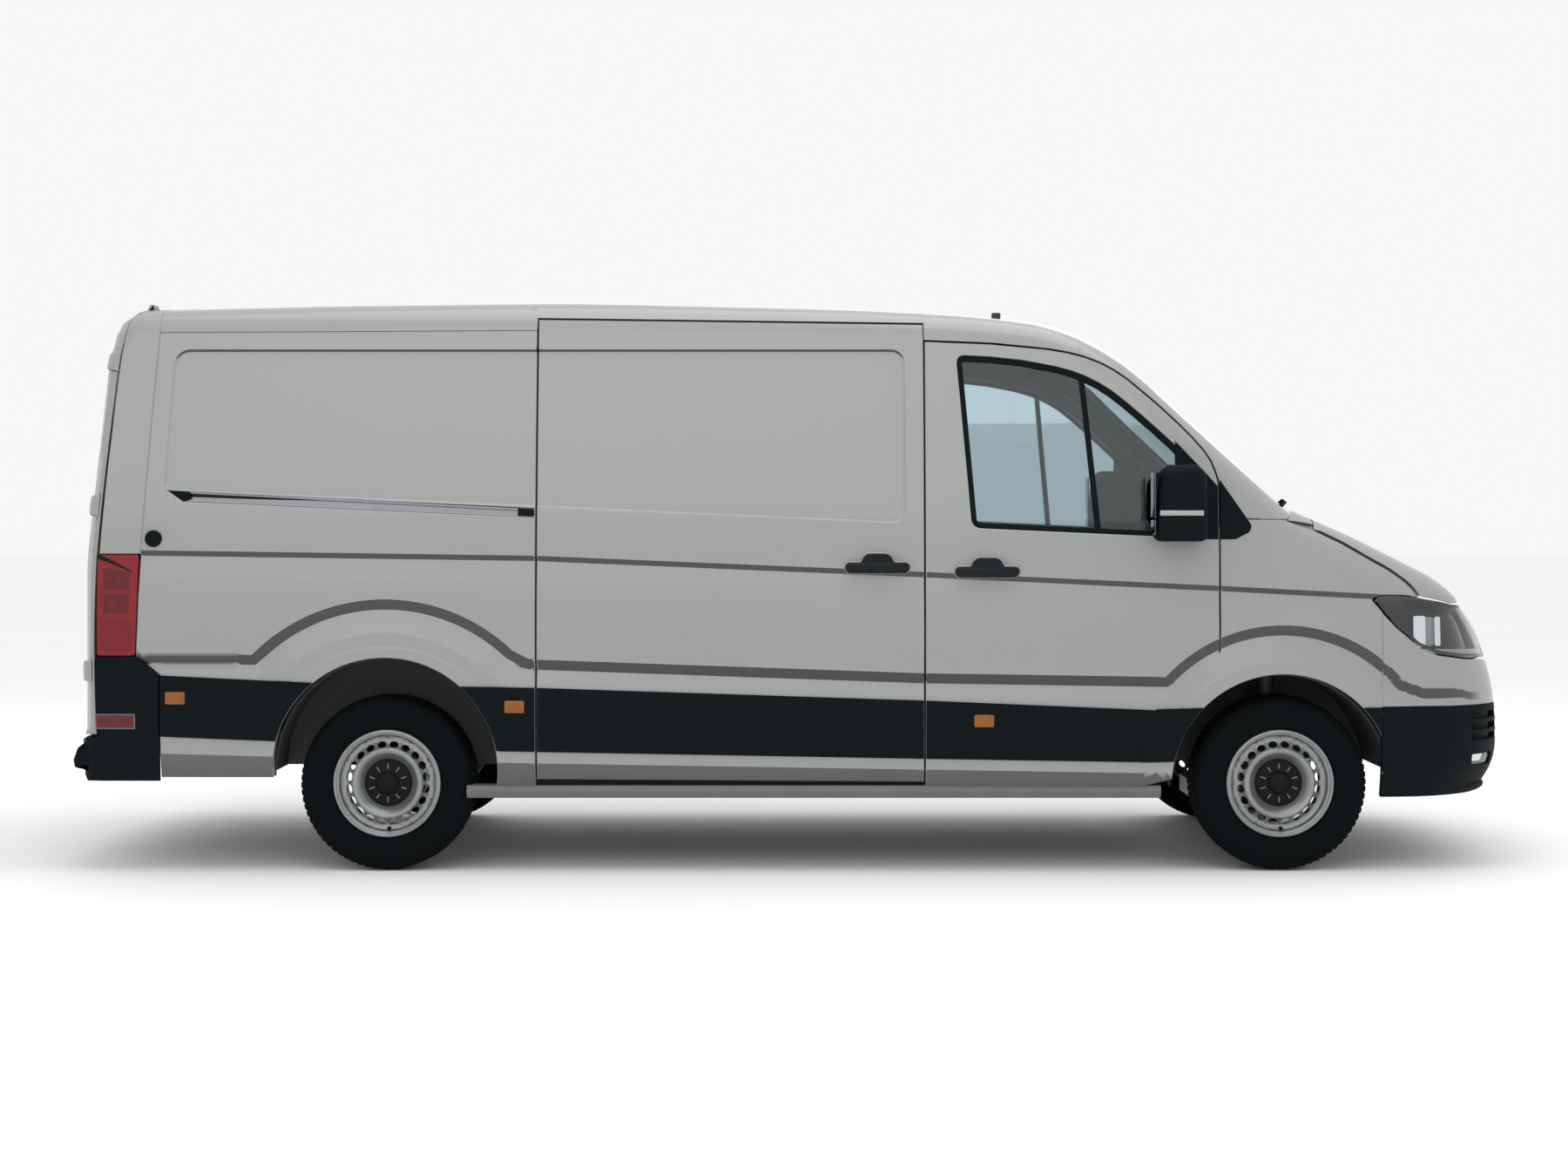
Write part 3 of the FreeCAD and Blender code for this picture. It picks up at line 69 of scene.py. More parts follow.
def rounded_path(corners, closed=False, turn=7.0):
    """Points along straight runs whose corners (x, y, radius) are rounded."""
    places = [points(corner[:2]) for corner in corners]
    count = len(corners)
    path = []
    for i, corner in enumerate(corners):
        radius = corner[2] if len(corner) > 2 else 0
        if not radius or (not closed and i in (0, count - 1)):
            path.append(places[i])
            continue
        back = places[i - 1] - places[i]
        ahead = places[(i + 1) % count] - places[i]
        back /= np.linalg.norm(back)
        ahead /= np.linalg.norm(ahead)
        half = math.acos(max(-1.0, min(1.0, float(back @ ahead)))) / 2
        middle = back + ahead
        centre = places[i] + middle / np.linalg.norm(middle) * radius / math.sin(half)
        start = places[i] + back * radius / math.tan(half) - centre
        end = places[i] + ahead * radius / math.tan(half) - centre
        first = math.atan2(start[1], start[0])
        sweep = math.atan2(end[1], end[0]) - first
        sweep = (sweep + math.pi) % (2 * math.pi) - math.pi
        steps = max(2, int(abs(math.degrees(sweep)) / turn) + 1)
        for k in range(steps + 1):
            angle = first + sweep * k / steps
            path.append(centre + radius * points([math.cos(angle), math.sin(angle)]))
    return np.array(path)


def rounded_box(x, z, end_x, end_z, radius):
    return rounded_path([(x, z, radius), (end_x, z, radius), (end_x, end_z, radius),
                         (x, end_z, radius)], closed=True)


def arc(centre, radius, start, end, steps=24):
    """Points on a circle from one angle to another, in degrees."""
    angles = np.radians(np.linspace(start, end, steps + 1))
    return np.stack([centre[0] + radius * np.cos(angles), centre[1] + radius * np.sin(angles)], 1)


def spaced(path, step, closed=False):
    """Points at even steps along a path, keeping its own corners."""
    result = []
    count = len(path)
    for i in range(count if closed else count - 1):
        a, b = path[i], path[(i + 1) % count]
        length = np.linalg.norm(b - a)
        if length < 1e-6:
            continue
        pieces = max(1, int(math.ceil(length / step)))
        for k in range(pieces):
            result.append(a + (b - a) * k / pieces)
    if not closed:
        result.append(path[-1])
    return np.array(result)


def inside(place, polygon):
    """Which places lie inside a polygon."""
    x, y = place[:, 0], place[:, 1]
    hit = np.zeros(len(place), bool)
    ax, ay = polygon[:, 0], polygon[:, 1]
    bx, by = np.roll(ax, -1), np.roll(ay, -1)
    for i in range(len(polygon)):
        crosses = (ay[i] > y) != (by[i] > y)
        with np.errstate(divide="ignore", invalid="ignore"):
            edge = (bx[i] - ax[i]) * (y - ay[i]) / (by[i] - ay[i]) + ax[i]
        hit ^= crosses & (x < edge)
    return hit


def distance(place, path, closed=False):
    """Distance from each place to a path."""
    a = path if closed else path[:-1]
    b = np.roll(path, -1, 0) if closed else path[1:]
    best = np.full(len(place), 1e12)
    for start, end in zip(a, b):
        along = end - start
        length = float(along @ along)
        if length < 1e-9:
            continue
        t = np.clip(((place - start) @ along) / length, 0, 1)
        off = place - start - t[:, None] * along
        best = np.minimum(best, np.einsum("ij,ij->i", off, off))
    return np.sqrt(best)


def inset(polygon, amount):
    """A closed outline moved inwards by amount."""
    area = np.sum(polygon[:, 0] * np.roll(polygon[:, 1], -1)
                  - np.roll(polygon[:, 0], -1) * polygon[:, 1])
    sign = 1.0 if area > 0 else -1.0
    before = polygon - np.roll(polygon, 1, 0)
    after = np.roll(polygon, -1, 0) - polygon
    before /= np.maximum(np.linalg.norm(before, axis=1, keepdims=True), 1e-9)
    after /= np.maximum(np.linalg.norm(after, axis=1, keepdims=True), 1e-9)
    normal_a = np.stack([-before[:, 1], before[:, 0]], 1) * sign
    normal_b = np.stack([-after[:, 1], after[:, 0]], 1) * sign
    middle = normal_a + normal_b
    scale = np.einsum("ij,ij->i", middle, normal_a)
    return polygon + middle / np.maximum(scale, 0.4)[:, None] * amount


def smooth(t):
    t = np.clip(t, 0, 1)
    return t * t * (3 - 2 * t)


def rounded_max(a, b, radius):
    """Signed distance to where two bounds meet, with a rounding between them."""
    both = (a > -radius) & (b > -radius)
    soft = np.hypot(np.maximum(a + radius, 0), np.maximum(b + radius, 0)) - radius
    return np.where(both, soft, np.maximum(a, b))


# Body form: cross section, roof line, rear face, nose

WAIST = points([1016, 1250])
SILL = points([985, 200])
CANT = points([842, 2600])
LEAN = 0.05


def section_circle(end):
    inwards = points([-1, -LEAN]) / math.hypot(1, LEAN)
    chord = end - WAIST
    radius = float(chord @ chord) / (2 * float(inwards @ chord))
    return WAIST + inwards * radius, radius


LOW_CENTRE, LOW_RADIUS = section_circle(SILL)
HIGH_CENTRE, HIGH_RADIUS = section_circle(CANT)


def half_width(z):
    low = LOW_CENTRE[0] + np.sqrt(LOW_RADIUS ** 2 - (z - LOW_CENTRE[1]) ** 2)
    high = HIGH_CENTRE[0] + np.sqrt(HIGH_RADIUS ** 2 - (z - HIGH_CENTRE[1]) ** 2)
    return np.where(z < WAIST[1], low, high)


ROOF = rounded_path([
    (TAIL + 102, 2326), (TAIL + 970, 2349, 15000), (FRONT - 2892, 2361, 15000),
    (FRONT - 1742, 2334, 15000), (FRONT - 730, 2276, 850), (FRONT + 213, 1417)], turn=1.5)
BACK = rounded_path([(TAIL, 200), (TAIL, 1270, 1500), (TAIL + 102, 2326)], turn=1.0)
NOSE_TOP, NOSE_BELLY = 1501, 610
NOSE_LINE = rounded_path([
    (FRONT + 58, NOSE_TOP), (FRONT + 400, 1350, 1200), (FRONT + 838, 1130, 500), (NOSE, 760, 900),
    (NOSE, 440, 260), (FRONT + 860, 200)], turn=2.0)
ROOF_RADIUS = 100.0
CORNER_RADIUS = 48.0
# Above a height, the upright corners at the rear grow rounder
CORNER_GROWTH, GROWTH_HEIGHT = 70, 2050


def roof_line(x):
    return np.interp(x, ROOF[:, 0], ROOF[:, 1])


DROP = rounded_path([(-2900, 35), (850, 36, 4000), (1500, 112, 3000), (2400, 120)], turn=1.0)
EDGE_HALF = 742.0


def edge_drop(x):
    """How far the roof and the windscreen fall from their middle to their edges."""
    return np.interp(x, DROP[:, 0], DROP[:, 1])


def edge_line(x):
    return roof_line(x) - edge_drop(x)


def roof_cosine(x):
    slope = (roof_line(x + 5) - roof_line(x - 5)) / 10
    return 1 / np.sqrt(1 + slope ** 2)


def back_line(z):
    return np.interp(z, BACK[:, 1], BACK[:, 0])


def cabin_distance(p):
    x, y, z = p[:, 0], p[:, 1], p[:, 2]
    side = np.abs(y) - half_width(z)
    reach = np.minimum(np.abs(y) / EDGE_HALF, 1.0)
    top = (z - roof_line(x) + edge_drop(x) * reach ** 2) * roof_cosine(x)
    body = rounded_max(side, top, ROOF_RADIUS)
    tail = back_line(z) - x
    corner = CORNER_RADIUS + CORNER_GROWTH * smooth((z - GROWTH_HEIGHT) / 200)
    return rounded_max(body, tail, corner)


def nose_line_distance(x, z):
    place = np.stack([x, z], 1)
    gap = distance(place, NOSE_LINE)
    x_line = np.interp(-z, -NOSE_LINE[:, 1], NOSE_LINE[:, 0])
    outside = (x > x_line) | (z > NOSE_TOP)
    x_low = np.interp(z, NOSE_LINE[::-1, 1], NOSE_LINE[::-1, 0])
    outside = np.where(z < NOSE_BELLY, x > x_low, outside)
    return np.where(outside, gap, -gap)


BOW = 4300.0
# Seen from above the nose narrows, first along a parabola, then in a straight line
TAPER_START, TAPER_CURVED, TAPER_ROUND = 2180, 400, 5200
TAPER_SLOPE, TAPER_SHIFT = 0.1538, 30.8
NOSE_RADIUS, NOSE_GROWTH = 130, 110


def nose_distance(p):
    x, y, z = p[:, 0], p[:, 1], p[:, 2]
    run = np.maximum(x - TAPER_START, 0)
    taper = np.where(run < TAPER_CURVED, run ** 2 / TAPER_ROUND, run * TAPER_SLOPE - TAPER_SHIFT)
    side = np.abs(y) - half_width(z) + taper
    line = nose_line_distance(x + y * y / (2 * BOW), z)
    radius = NOSE_RADIUS + NOSE_GROWTH * smooth((1080 - z) / 200)
    return rounded_max(side, line, radius)


TRACE_STEPS, TRACE_REFINED = 8, 4


def trace(start, way, bound, reach=1600.0):
    """First point from outside where a ray meets a form given by its signed distance."""
    travel = np.zeros(len(start))
    for _ in range(TRACE_STEPS):
        before = travel
        gap = bound(start + way * travel[:, None])
        travel = np.clip(travel + gap, 0, reach)
    for _ in range(TRACE_REFINED):
        last = gap
        gap = bound(start + way * travel[:, None])
        change = gap - last
        steepness = (travel - before) / np.where(change == 0, 1, change)
        slope = np.where(np.abs(change) > 1e-7, steepness, -1)
        before = travel
        travel = np.clip(travel - gap * np.clip(slope, -8, 0), 0, reach)
    return start + way * travel[:, None]


SLOPE_STEP = 0.8


def mapped_normals(place, at):
    """Unit normals of a mapped surface from its slopes along both of its directions."""
    u = points([[SLOPE_STEP, 0.0]])
    v = points([[0.0, SLOPE_STEP]])
    along = place(at + u) - place(at - u)
    across = place(at + v) - place(at - v)
    normal = np.cross(along, across)
    length = np.linalg.norm(normal, axis=1, keepdims=True)
    return normal / np.maximum(length, 1e-9)


# Pressed lines of the sides, as depths below the plain form

GROOVE = rounded_path([(TAIL, 1311), (-1048, 1286), (537, 1220), (1733, 1164), (2420, 1128)])
SWAGE = np.concatenate([
    points([(TAIL - 100, 890), (-2230, 886)]),
    arc((REAR, WHEEL_HEIGHT), 753, 135.5, 46.5, 30),
    points([(-1060, 866), (537, 810), (1460, 796)]),
    arc(FRONT_AXLE, 648, 137.5, 40.5, 30),
    points([(2560, 750), (3100, 716)])])
CREASE = points([(TAIL, 492), (-1183, 446), (1425, 404), (2400, 404)])
# The strip under the crease faces down at this slope, so the paint's painted shade darkens it.
CREASE_SLOPE = 0.17
GROOVE_BAND = 22.0
GROOVE_DEPTH = 9.0
SWAGE_BAND = 42.0
SWAGE_DEPTH = 17.0
SWAGE_FADE = 95.0
SWAGE_LOW, SWAGE_HIGH = 560, 1180
LIP_RISE = 6.0
RECESS = rounded_path([(TAIL + 318, 1548, 30), (467, 1412, 60), (467, 2128, 60),
                       (TAIL + 350, 2128, 70)], closed=True)
RECESS_EDGE = 13.0
RECESS_DEPTH = 10.0
SLOT = points([(TAIL + 337, 1552), (-1042, 1476), (-1042, 1440), (TAIL + 400, 1505)])


def band_depth(below, band, depth, recovery):
    """A facet that turns down and inwards, then a long slope back out."""
    rise = np.clip(below / band, 0, 1)
    back = np.clip((below - band) / recovery, 0, 1)
    return depth * rise * (1 - back)


def side_depth(x, z, recess=True):
    place = np.stack([x, z], 1)
    groove_below = np.interp(x, GROOVE[:, 0], GROOVE[:, 1]) - z
    depth = band_depth(np.maximum(groove_below, 0), GROOVE_BAND, GROOVE_DEPTH, 150.0)
    near = (z < SWAGE_HIGH) & (z > SWAGE_LOW)
    below = np.zeros(len(x))
    if near.any():
        gap = distance(place[near], SWAGE)
        under = np.interp(x[near], SWAGE[:, 0], SWAGE[:, 1]) > z[near]
        below[near] = np.where(under, gap, 0)
    depth += np.where(near, band_depth(below, SWAGE_BAND, SWAGE_DEPTH, SWAGE_FADE), 0)
    for centre, lip in ARCH_LIPS:
        radius = np.hypot(x - centre[0], z - centre[1])
        depth -= LIP_RISE * smooth((lip - radius) / LIP_BAND) * smooth((z - SWAGE_LOW) / 60)
    crease = np.interp(x, CREASE[:, 0], CREASE[:, 1])
    depth += CREASE_SLOPE * np.clip(crease - z, 0, 200)
    if recess:
        high = (z > 1390) & (x < 500)
        if high.any():
            gap = distance(place[high], RECESS, closed=True)
            within = inside(place[high], RECESS)
            depth[high] += np.where(within, RECESS_DEPTH * smooth(gap / RECESS_EDGE), 0)
    return depth


def side_at(side, bound=cabin_distance, recess=True, extra=0.0):
    """Map from (x, z) to the side of the van; side is -1 on the right."""
    def place(at):
        x, z = at[:, 0], at[:, 1]
        if bound is cabin_distance:
            top = (z - edge_line(x)) * roof_cosine(x)
            over = np.clip(top + ROOF_RADIUS, 0, ROOF_RADIUS * 0.9999)
            width = half_width(z) - ROOF_RADIUS + np.sqrt(ROOF_RADIUS ** 2 - over ** 2)
        else:
            start = np.stack([x, np.full(len(x), -1300.0), z], 1)
            way = np.tile(points([0, 1, 0]), (len(x), 1))
            width = -trace(start, way, bound)[:, 1]
        width = width - side_depth(x, z, recess) + extra
        return np.stack([x, side * width, z], 1)
    return place


# Meshes

def dressed(name, mesh, look, body, angle, replaces):
    """The object of a mesh, smooth up to an angle, which rides on a body."""
    finish, usual_slot = look
    mesh.materials.append(finish)
    mesh.polygons.foreach_set("use_smooth", [True] * len(mesh.polygons))
    mesh.set_sharp_from_angle(angle=math.radians(angle))
    piece = bpy.data.objects.new(name, mesh)
    bpy.context.scene.collection.objects.link(piece)
    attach(piece, body)
    if replaces:
        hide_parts(*replaces)
    return piece


def finished(name, verts, faces, look, body="root", angle=35.0, replaces=()):
    """A piece from places in millimetres and faces."""
    mesh = bpy.data.meshes.new(name)
    mesh.from_pydata([tuple(vert) for vert in np.asarray(verts) * MM], [], faces)
    return dressed(name, mesh, look, body, angle, replaces)


def from_bmesh(name, made, look, body="root", angle=35.0, replaces=()):
    """A piece from an open mesh in metres, its faces turned outwards."""
    mesh = bpy.data.meshes.new(name)
    bmesh.ops.recalc_face_normals(made, faces=made.faces[:])
    made.to_mesh(mesh)
    made.free()
    return dressed(name, mesh, look, body, angle, replaces)


def triangulated(outline, holes, lines, spacing, chamfer):
    """Triangles of an outline with holes, following lines and an even grid."""
    rings = [outline] + list(holes)
    verts = []
    edges = []

    def add(path, closed):
        first = len(verts)
        verts.extend([tuple(place) for place in path])
        count = len(path)
        edges.extend([(first + i, first + (i + 1) % count)
                      for i in range(count if closed else count - 1)])

    for ring in rings:
        add(spaced(ring, spacing, True), True)
    if chamfer:
        add(inset(spaced(outline, spacing, True), chamfer), True)
        for hole in holes:
            add(inset(spaced(hole, spacing, True), -chamfer), True)
    for line in lines:
        add(spaced(line, spacing), False)
    low, high = outline.min(0), outline.max(0)
    xs = np.arange(low[0] + spacing / 2, high[0], spacing)
    ys = np.arange(low[1] + spacing / 2, high[1], spacing)
    grid = np.stack(np.meshgrid(xs, ys), -1).reshape(-1, 2)
    keep = inside(grid, outline) & (distance(grid, outline, True) > spacing * 0.45)
    for hole in holes:
        keep &= ~inside(grid, hole) & (distance(grid, hole, True) > spacing * 0.45)
    grid = grid[keep]
    for line in lines:
        if len(grid):
            grid = grid[distance(grid, line) > spacing * 0.3]
    verts.extend([tuple(place) for place in grid])
    flat, _, faces, _, _, _ = delaunay_2d_cdt(
        [Vector(vert) for vert in verts], edges, [], 0, 1e-5)
    flat = np.array([tuple(vert) for vert in flat])
    faces = np.array([face for face in faces if len(face) == 3])
    centre = flat[faces].mean(1)
    keep = inside(centre, outline)
    for hole in holes:
        keep &= ~inside(centre, hole)
    faces = faces[keep]
    a, b, c = flat[faces[:, 0]], flat[faces[:, 1]], flat[faces[:, 2]]
    area = (b[:, 0] - a[:, 0]) * (c[:, 1] - a[:, 1]) - (b[:, 1] - a[:, 1]) * (c[:, 0] - a[:, 0])
    faces = faces[np.abs(area) > 1e-4]
    area = area[np.abs(area) > 1e-4]
    faces[area < 0] = faces[area < 0][:, ::-1]
    used = np.unique(faces)
    renumber = np.full(len(flat), -1)
    renumber[used] = np.arange(len(used))
    return flat[used], renumber[faces]


def panel(name, outline, place, look, body="root", holes=(), lines=(), spacing=45.0,
          thickness=22.0, chamfer=3.0, flip=False, replaces=(), slot=None):
    """A sheet of given thickness on a mapped surface, its outer edges slightly rounded."""
    outline = points(outline)
    flat, faces = triangulated(outline, holes, lines, spacing, chamfer)
    outwards = -1.0 if flip else 1.0
    normal = mapped_normals(place, flat) * outwards
    if flip:
        faces = faces[:, ::-1]
    sink = np.zeros(len(flat))
    if chamfer:
        edge = distance(flat, outline, True)
        for hole in holes:
            edge = np.minimum(edge, distance(flat, hole, True))
        sink = np.where(edge < 0.05, chamfer * 0.8, 0.0)
    plain = place(flat)
    count = len(flat)
    verts = np.concatenate([plain - normal * sink[:, None], plain - normal * thickness])
    all_faces = [tuple(face) for face in faces] + [tuple(face[::-1] + count) for face in faces]
    halves = {(face[i], face[(i + 1) % 3]): True for face in faces for i in range(3)}
    all_faces += [(end, start, start + count, end + count)
                  for start, end in halves if (end, start) not in halves]
    piece = finished(name, verts, all_faces, look, body, replaces=replaces)
    corner = flat[faces]
    near = (corner * 0.85 + corner.mean(1, keepdims=True) * 0.15).reshape(-1, 2)
    split = np.zeros((len(piece.data.loops), 3))
    split[:len(near)] = mapped_normals(place, near) * outwards
    if chamfer:
        on_edge = (sink[faces] > 0).any(1)
        split[:len(near)][np.repeat(on_edge, 3)] = 0
    piece.data.normals_split_custom_set([tuple(normal) for normal in split])
    return piece


def side_panel(name, outline, side, look, body="root", extra=0.0, nose=False, recess=False, **more):
    """A panel on the side of the van; nose says whether the form includes that of the nose."""
    bound = front_distance if nose else cabin_distance
    return panel(name, outline, side_at(side, bound, recess, extra), look, body,
                 flip=side == LEFT, **more)


def off(place, out):
    """The same map, lying further out by a given amount."""
    return lambda at: place(at, out)


def grid_faces(rows, columns, closed=False):
    faces = []
    for i in range(rows - 1):
        for j in range(columns if closed else columns - 1):
            k = (j + 1) % columns
            faces.append((i * columns + j, i * columns + k, (i + 1) * columns + k,
                          (i + 1) * columns + j))
    return faces


def sheet(name, grid, look, body="root", thickness=20.0, replaces=(), flip=False):
    """A sheet of given thickness from a grid of points (rows, columns, 3)."""
    rows, columns = grid.shape[:2]
    normal = np.cross(np.gradient(grid, axis=0), np.gradient(grid, axis=1))
    normal /= np.maximum(np.linalg.norm(normal, axis=2, keepdims=True), 1e-9)
    if flip:
        normal = -normal
    count = rows * columns
    verts = np.concatenate([grid.reshape(-1, 3), (grid - normal * thickness).reshape(-1, 3)])
    outer = grid_faces(rows, columns)
    if flip:
        outer = [face[::-1] for face in outer]
    faces = outer + [tuple(i + count for i in face[::-1]) for face in outer]
    rim = [(0, j) for j in range(columns)] + [(i, columns - 1) for i in range(1, rows)]
    rim += [(rows - 1, j) for j in range(columns - 2, -1, -1)]
    rim += [(i, 0) for i in range(rows - 2, 0, -1)]
    ids = [i * columns + j for i, j in rim]
    for start, end in zip(ids, ids[1:] + ids[:1]):
        face = (start, end, end + count, start + count)
        faces.append(face if flip else face[::-1])
    return finished(name, verts, faces, look, body, replaces=replaces)


def full_turn(steps):
    return np.linspace(0, 2 * math.pi, steps, endpoint=False)


def lathe(name, outline, centre, look, body="root", steps=96, replaces=(), angle=35.0):
    """A ring turned about a level axis across the van, from (radius, y) pairs."""
    turn = full_turn(steps)
    rows = [np.stack([centre[0] + radius * np.cos(turn), np.full(steps, centre[1] + along),
                      centre[2] + radius * np.sin(turn)], 1) for radius, along in outline]
    return finished(name, np.concatenate(rows), grid_faces(len(rows), steps, True), look, body,
                    angle, replaces)


def tube(name, loops, look, body="root", replaces=(), angle=35.0):
    """A closed skin through loops of equal count, its two ends capped."""
    count = len(loops[0])
    last = (len(loops) - 1) * count
    faces = [tuple(range(count))[::-1]] + grid_faces(len(loops), count, True)
    faces.append(tuple(range(last, last + count)))
    made = bmesh.new()
    verts = [made.verts.new(place) for place in np.concatenate(loops) * MM]
    for face in faces:
        made.faces.new([verts[i] for i in face])
    return from_bmesh(name, made, look, body, angle, replaces)


def block(name, corner, opposite, look, body="root", radius=4.0):
    """A box with rounded edges between two corners."""
    low, high = np.minimum(corner, opposite), np.maximum(corner, opposite)
    made = bmesh.new()
    bmesh.ops.create_cube(made, size=1.0)
    for vert in made.verts:
        vert.co = Vector(((low + high) / 2 + points(vert.co) * (high - low)) * MM)
    bmesh.ops.bevel(made, geom=made.edges[:], offset=radius * MM, segments=3, profile=0.5,
                    affect="EDGES")
    return from_bmesh(name, made, look, body)


# Looks: each is a material with the slot that its pieces usually name

def material(name, slot, colour, roughness, grain, bump, tint, patches, wear, metallic=0.0,
             coat=0.0, transmission=0.0, level=0.5, stretch=(1.0, 1.0, 1.0), under=None):
    """A finish with slow colour patches, uneven gloss and a fine raised grain.

    grain and patches are the scales of the fine relief and of the slow patches, bump is the
    relief's strength, tint and wear say how much colour and gloss vary, and under is a painted
    shade colour mixed into faces that look down, standing in for shade and the dark ground
    they reflect.
    """
    made = bpy.data.materials.new(name)
    made.use_nodes = True
    nodes, links = made.node_tree.nodes, made.node_tree.links
    shader = nodes["Principled BSDF"]

    def filled(node, values):
        for key, value in values.items():
            node.inputs[key].default_value = value
        return node

    filled(shader, {"Metallic": metallic, "Coat Weight": coat, "Coat Roughness": 0.06,
                    "Transmission Weight": transmission, "IOR": 1.45, "Specular IOR Level": level})
    place = nodes.new("ShaderNodeTexCoord")
    scale = filled(nodes.new("ShaderNodeMapping"), {"Scale": stretch})
    links.new(place.outputs["Object"], scale.inputs["Vector"])
    slow = filled(nodes.new("ShaderNodeTexNoise"), {"Scale": patches, "Detail": 6.0})
    fine = filled(nodes.new("ShaderNodeTexNoise"), {"Scale": grain, "Detail": 3.0})
    for noise in (slow, fine):
        links.new(scale.outputs["Vector"], noise.inputs["Vector"])
    ramp = nodes.new("ShaderNodeValToRGB")
    for stop, position, share in zip(ramp.color_ramp.elements, (0.3, 0.7), (1 - tint, 1 + tint)):
        stop.position = position
        stop.color = (*[min(1.0, c * share) for c in colour], 1)
    links.new(slow.outputs["Fac"], ramp.inputs["Fac"])
    finish = ramp.outputs["Color"]
    # Painted shade: faces whose normal points down are mixed towards the under colour, and the result
    # goes on as the base colour.
    if under:
        facing = nodes.new("ShaderNodeNewGeometry")
        parts = nodes.new("ShaderNodeSeparateXYZ")
        links.new(facing.outputs["Normal"], parts.inputs["Vector"])
        share = filled(nodes.new("ShaderNodeMapRange"), {"From Min": -0.11, "From Max": -0.27})
        links.new(parts.outputs["Z"], share.inputs["Value"])
        shade = nodes.new("ShaderNodeMix")
        shade.data_type = "RGBA"
        links.new(share.outputs["Result"], shade.inputs["Factor"])
        links.new(finish, shade.inputs["A"])
        shade.inputs["B"].default_value = (*under, 1)
        finish = shade.outputs["Result"]
    links.new(finish, shader.inputs["Base Color"])
    gloss = filled(nodes.new("ShaderNodeMapRange"), {"To Min": max(0.0, roughness - wear),
                                                     "To Max": min(1.0, roughness + wear)})
    links.new(slow.outputs["Fac"], gloss.inputs["Value"])
    links.new(gloss.outputs["Result"], shader.inputs["Roughness"])
    relief = filled(nodes.new("ShaderNodeBump"), {"Strength": bump, "Distance": 0.002})
    links.new(fine.outputs["Fac"], relief.inputs["Height"])
    links.new(relief.outputs["Normal"], shader.inputs["Normal"])
    return made, slot


# The paint's under colour is painted shade on its down-facing grooves, swage and lower strip.
PAINT = material("paint", "body_paint", (0.285, 0.292, 0.285), 0.34, 420, 0.012, 0.012, 0.9, 0.03,
                 coat=0.6, under=(0.028, 0.032, 0.031))
PLASTIC = material("dark_plastic", "black_plastic", (0.0025, 0.0055, 0.0070), 0.60, 1500, 0.16,
                   0.10, 6, 0.06, level=0.10)
GLOSS = material("gloss_black", "black_plastic", (0.004, 0.006, 0.008), 0.20, 700, 0.01, 0.05, 5,
                 0.03, level=0.22)
GLASS = material("window_glass", "glass", (0.53, 0.62, 0.655), 0.02, 60, 0.002, 0.01, 1, 0.005,
                 transmission=1.0)
CLEAR = material("lamp_clear", "lamp_clear", (0.94, 0.96, 0.97), 0.03, 60, 0.004, 0.01, 4, 0.01,
                 transmission=1.0)
RED = material("lamp_red", "lamp_red", (0.21, 0.007, 0.011), 0.16, 160, 0.03, 0.10, 9, 0.03,
               coat=0.3, level=0.3)
ORANGE = material("marker_orange", "lamp_red", (0.25, 0.080, 0.008), 0.25, 240, 0.06, 0.12, 22,
                  0.04, coat=0.2, level=0.3)
RUBBER = material("tyre_rubber", "tyre", (0.0022, 0.0036, 0.0045), 0.80, 1100, 0.22, 0.16, 9, 0.08,
                  level=0.10)
SILVER = material("rim_silver", "rim_silver", (0.27, 0.28, 0.285), 0.34, 1300, 0.05, 0.08, 8, 0.08,
                  metallic=0.75, coat=0.25)
ALUMINIUM = material("aluminium", "aluminium", (0.29, 0.295, 0.32), 0.33, 900, 0.08, 0.07, 7, 0.08,
                     metallic=0.95, stretch=(0.04, 1, 1))
CHROME = material("reflector", "aluminium", (0.75, 0.76, 0.78), 0.12, 300, 0.01, 0.03, 9, 0.03,
                  metallic=1.0)
LINING = material("interior_plastic", "interior_plastic", (0.055, 0.058, 0.062), 0.62, 1200, 0.2,
                  0.10, 5, 0.06)
HEADLINER = material("headliner", "interior_plastic", (0.010, 0.012, 0.014), 0.9, 2200, 0.3, 0.06,
                     10, 0.04, level=0.1)
FABRIC = material("seat_fabric", "seat_fabric", (0.035, 0.038, 0.045), 0.92, 2600, 0.5, 0.25, 140,
                  0.04)
STEEL = material("chassis_steel", "chassis_steel", (0.014, 0.016, 0.018), 0.60, 500, 0.18, 0.30, 7,
                 0.12, metallic=0.2, level=0.2)
CAST = material("cast_metal", "cast_metal", (0.19, 0.185, 0.18), 0.55, 650, 0.3, 0.25, 9, 0.12,
                metallic=0.8)
CAP = material("hub_plastic", "black_plastic", (0.0045, 0.0055, 0.0070), 0.50, 1200, 0.08, 0.08, 12,
               0.05, level=0.15)
MIRROR = material("mirror_glass", "aluminium", (0.10, 0.11, 0.12), 0.05, 300, 0.004, 0.02, 6, 0.01,
                  metallic=1.0)
GREY = material("grey_trim", "black_plastic", (0.14, 0.145, 0.15), 0.45, 1200, 0.1, 0.08, 7, 0.06)
DARK_RED = material("lamp_field", "lamp_red", (0.11, 0.004, 0.007), 0.25, 240, 0.5, 0.25, 60, 0.06,
                    coat=0.3, level=0.3)
DEEP_RED = material("lamp_foot", "lamp_red", (0.17, 0.005, 0.009), 0.18, 180, 0.1, 0.10, 20, 0.04,
                    coat=0.3, level=0.3)
PALE = material("blank_plate", "body_paint", (0.62, 0.63, 0.62), 0.35, 900, 0.04, 0.02, 3, 0.04)
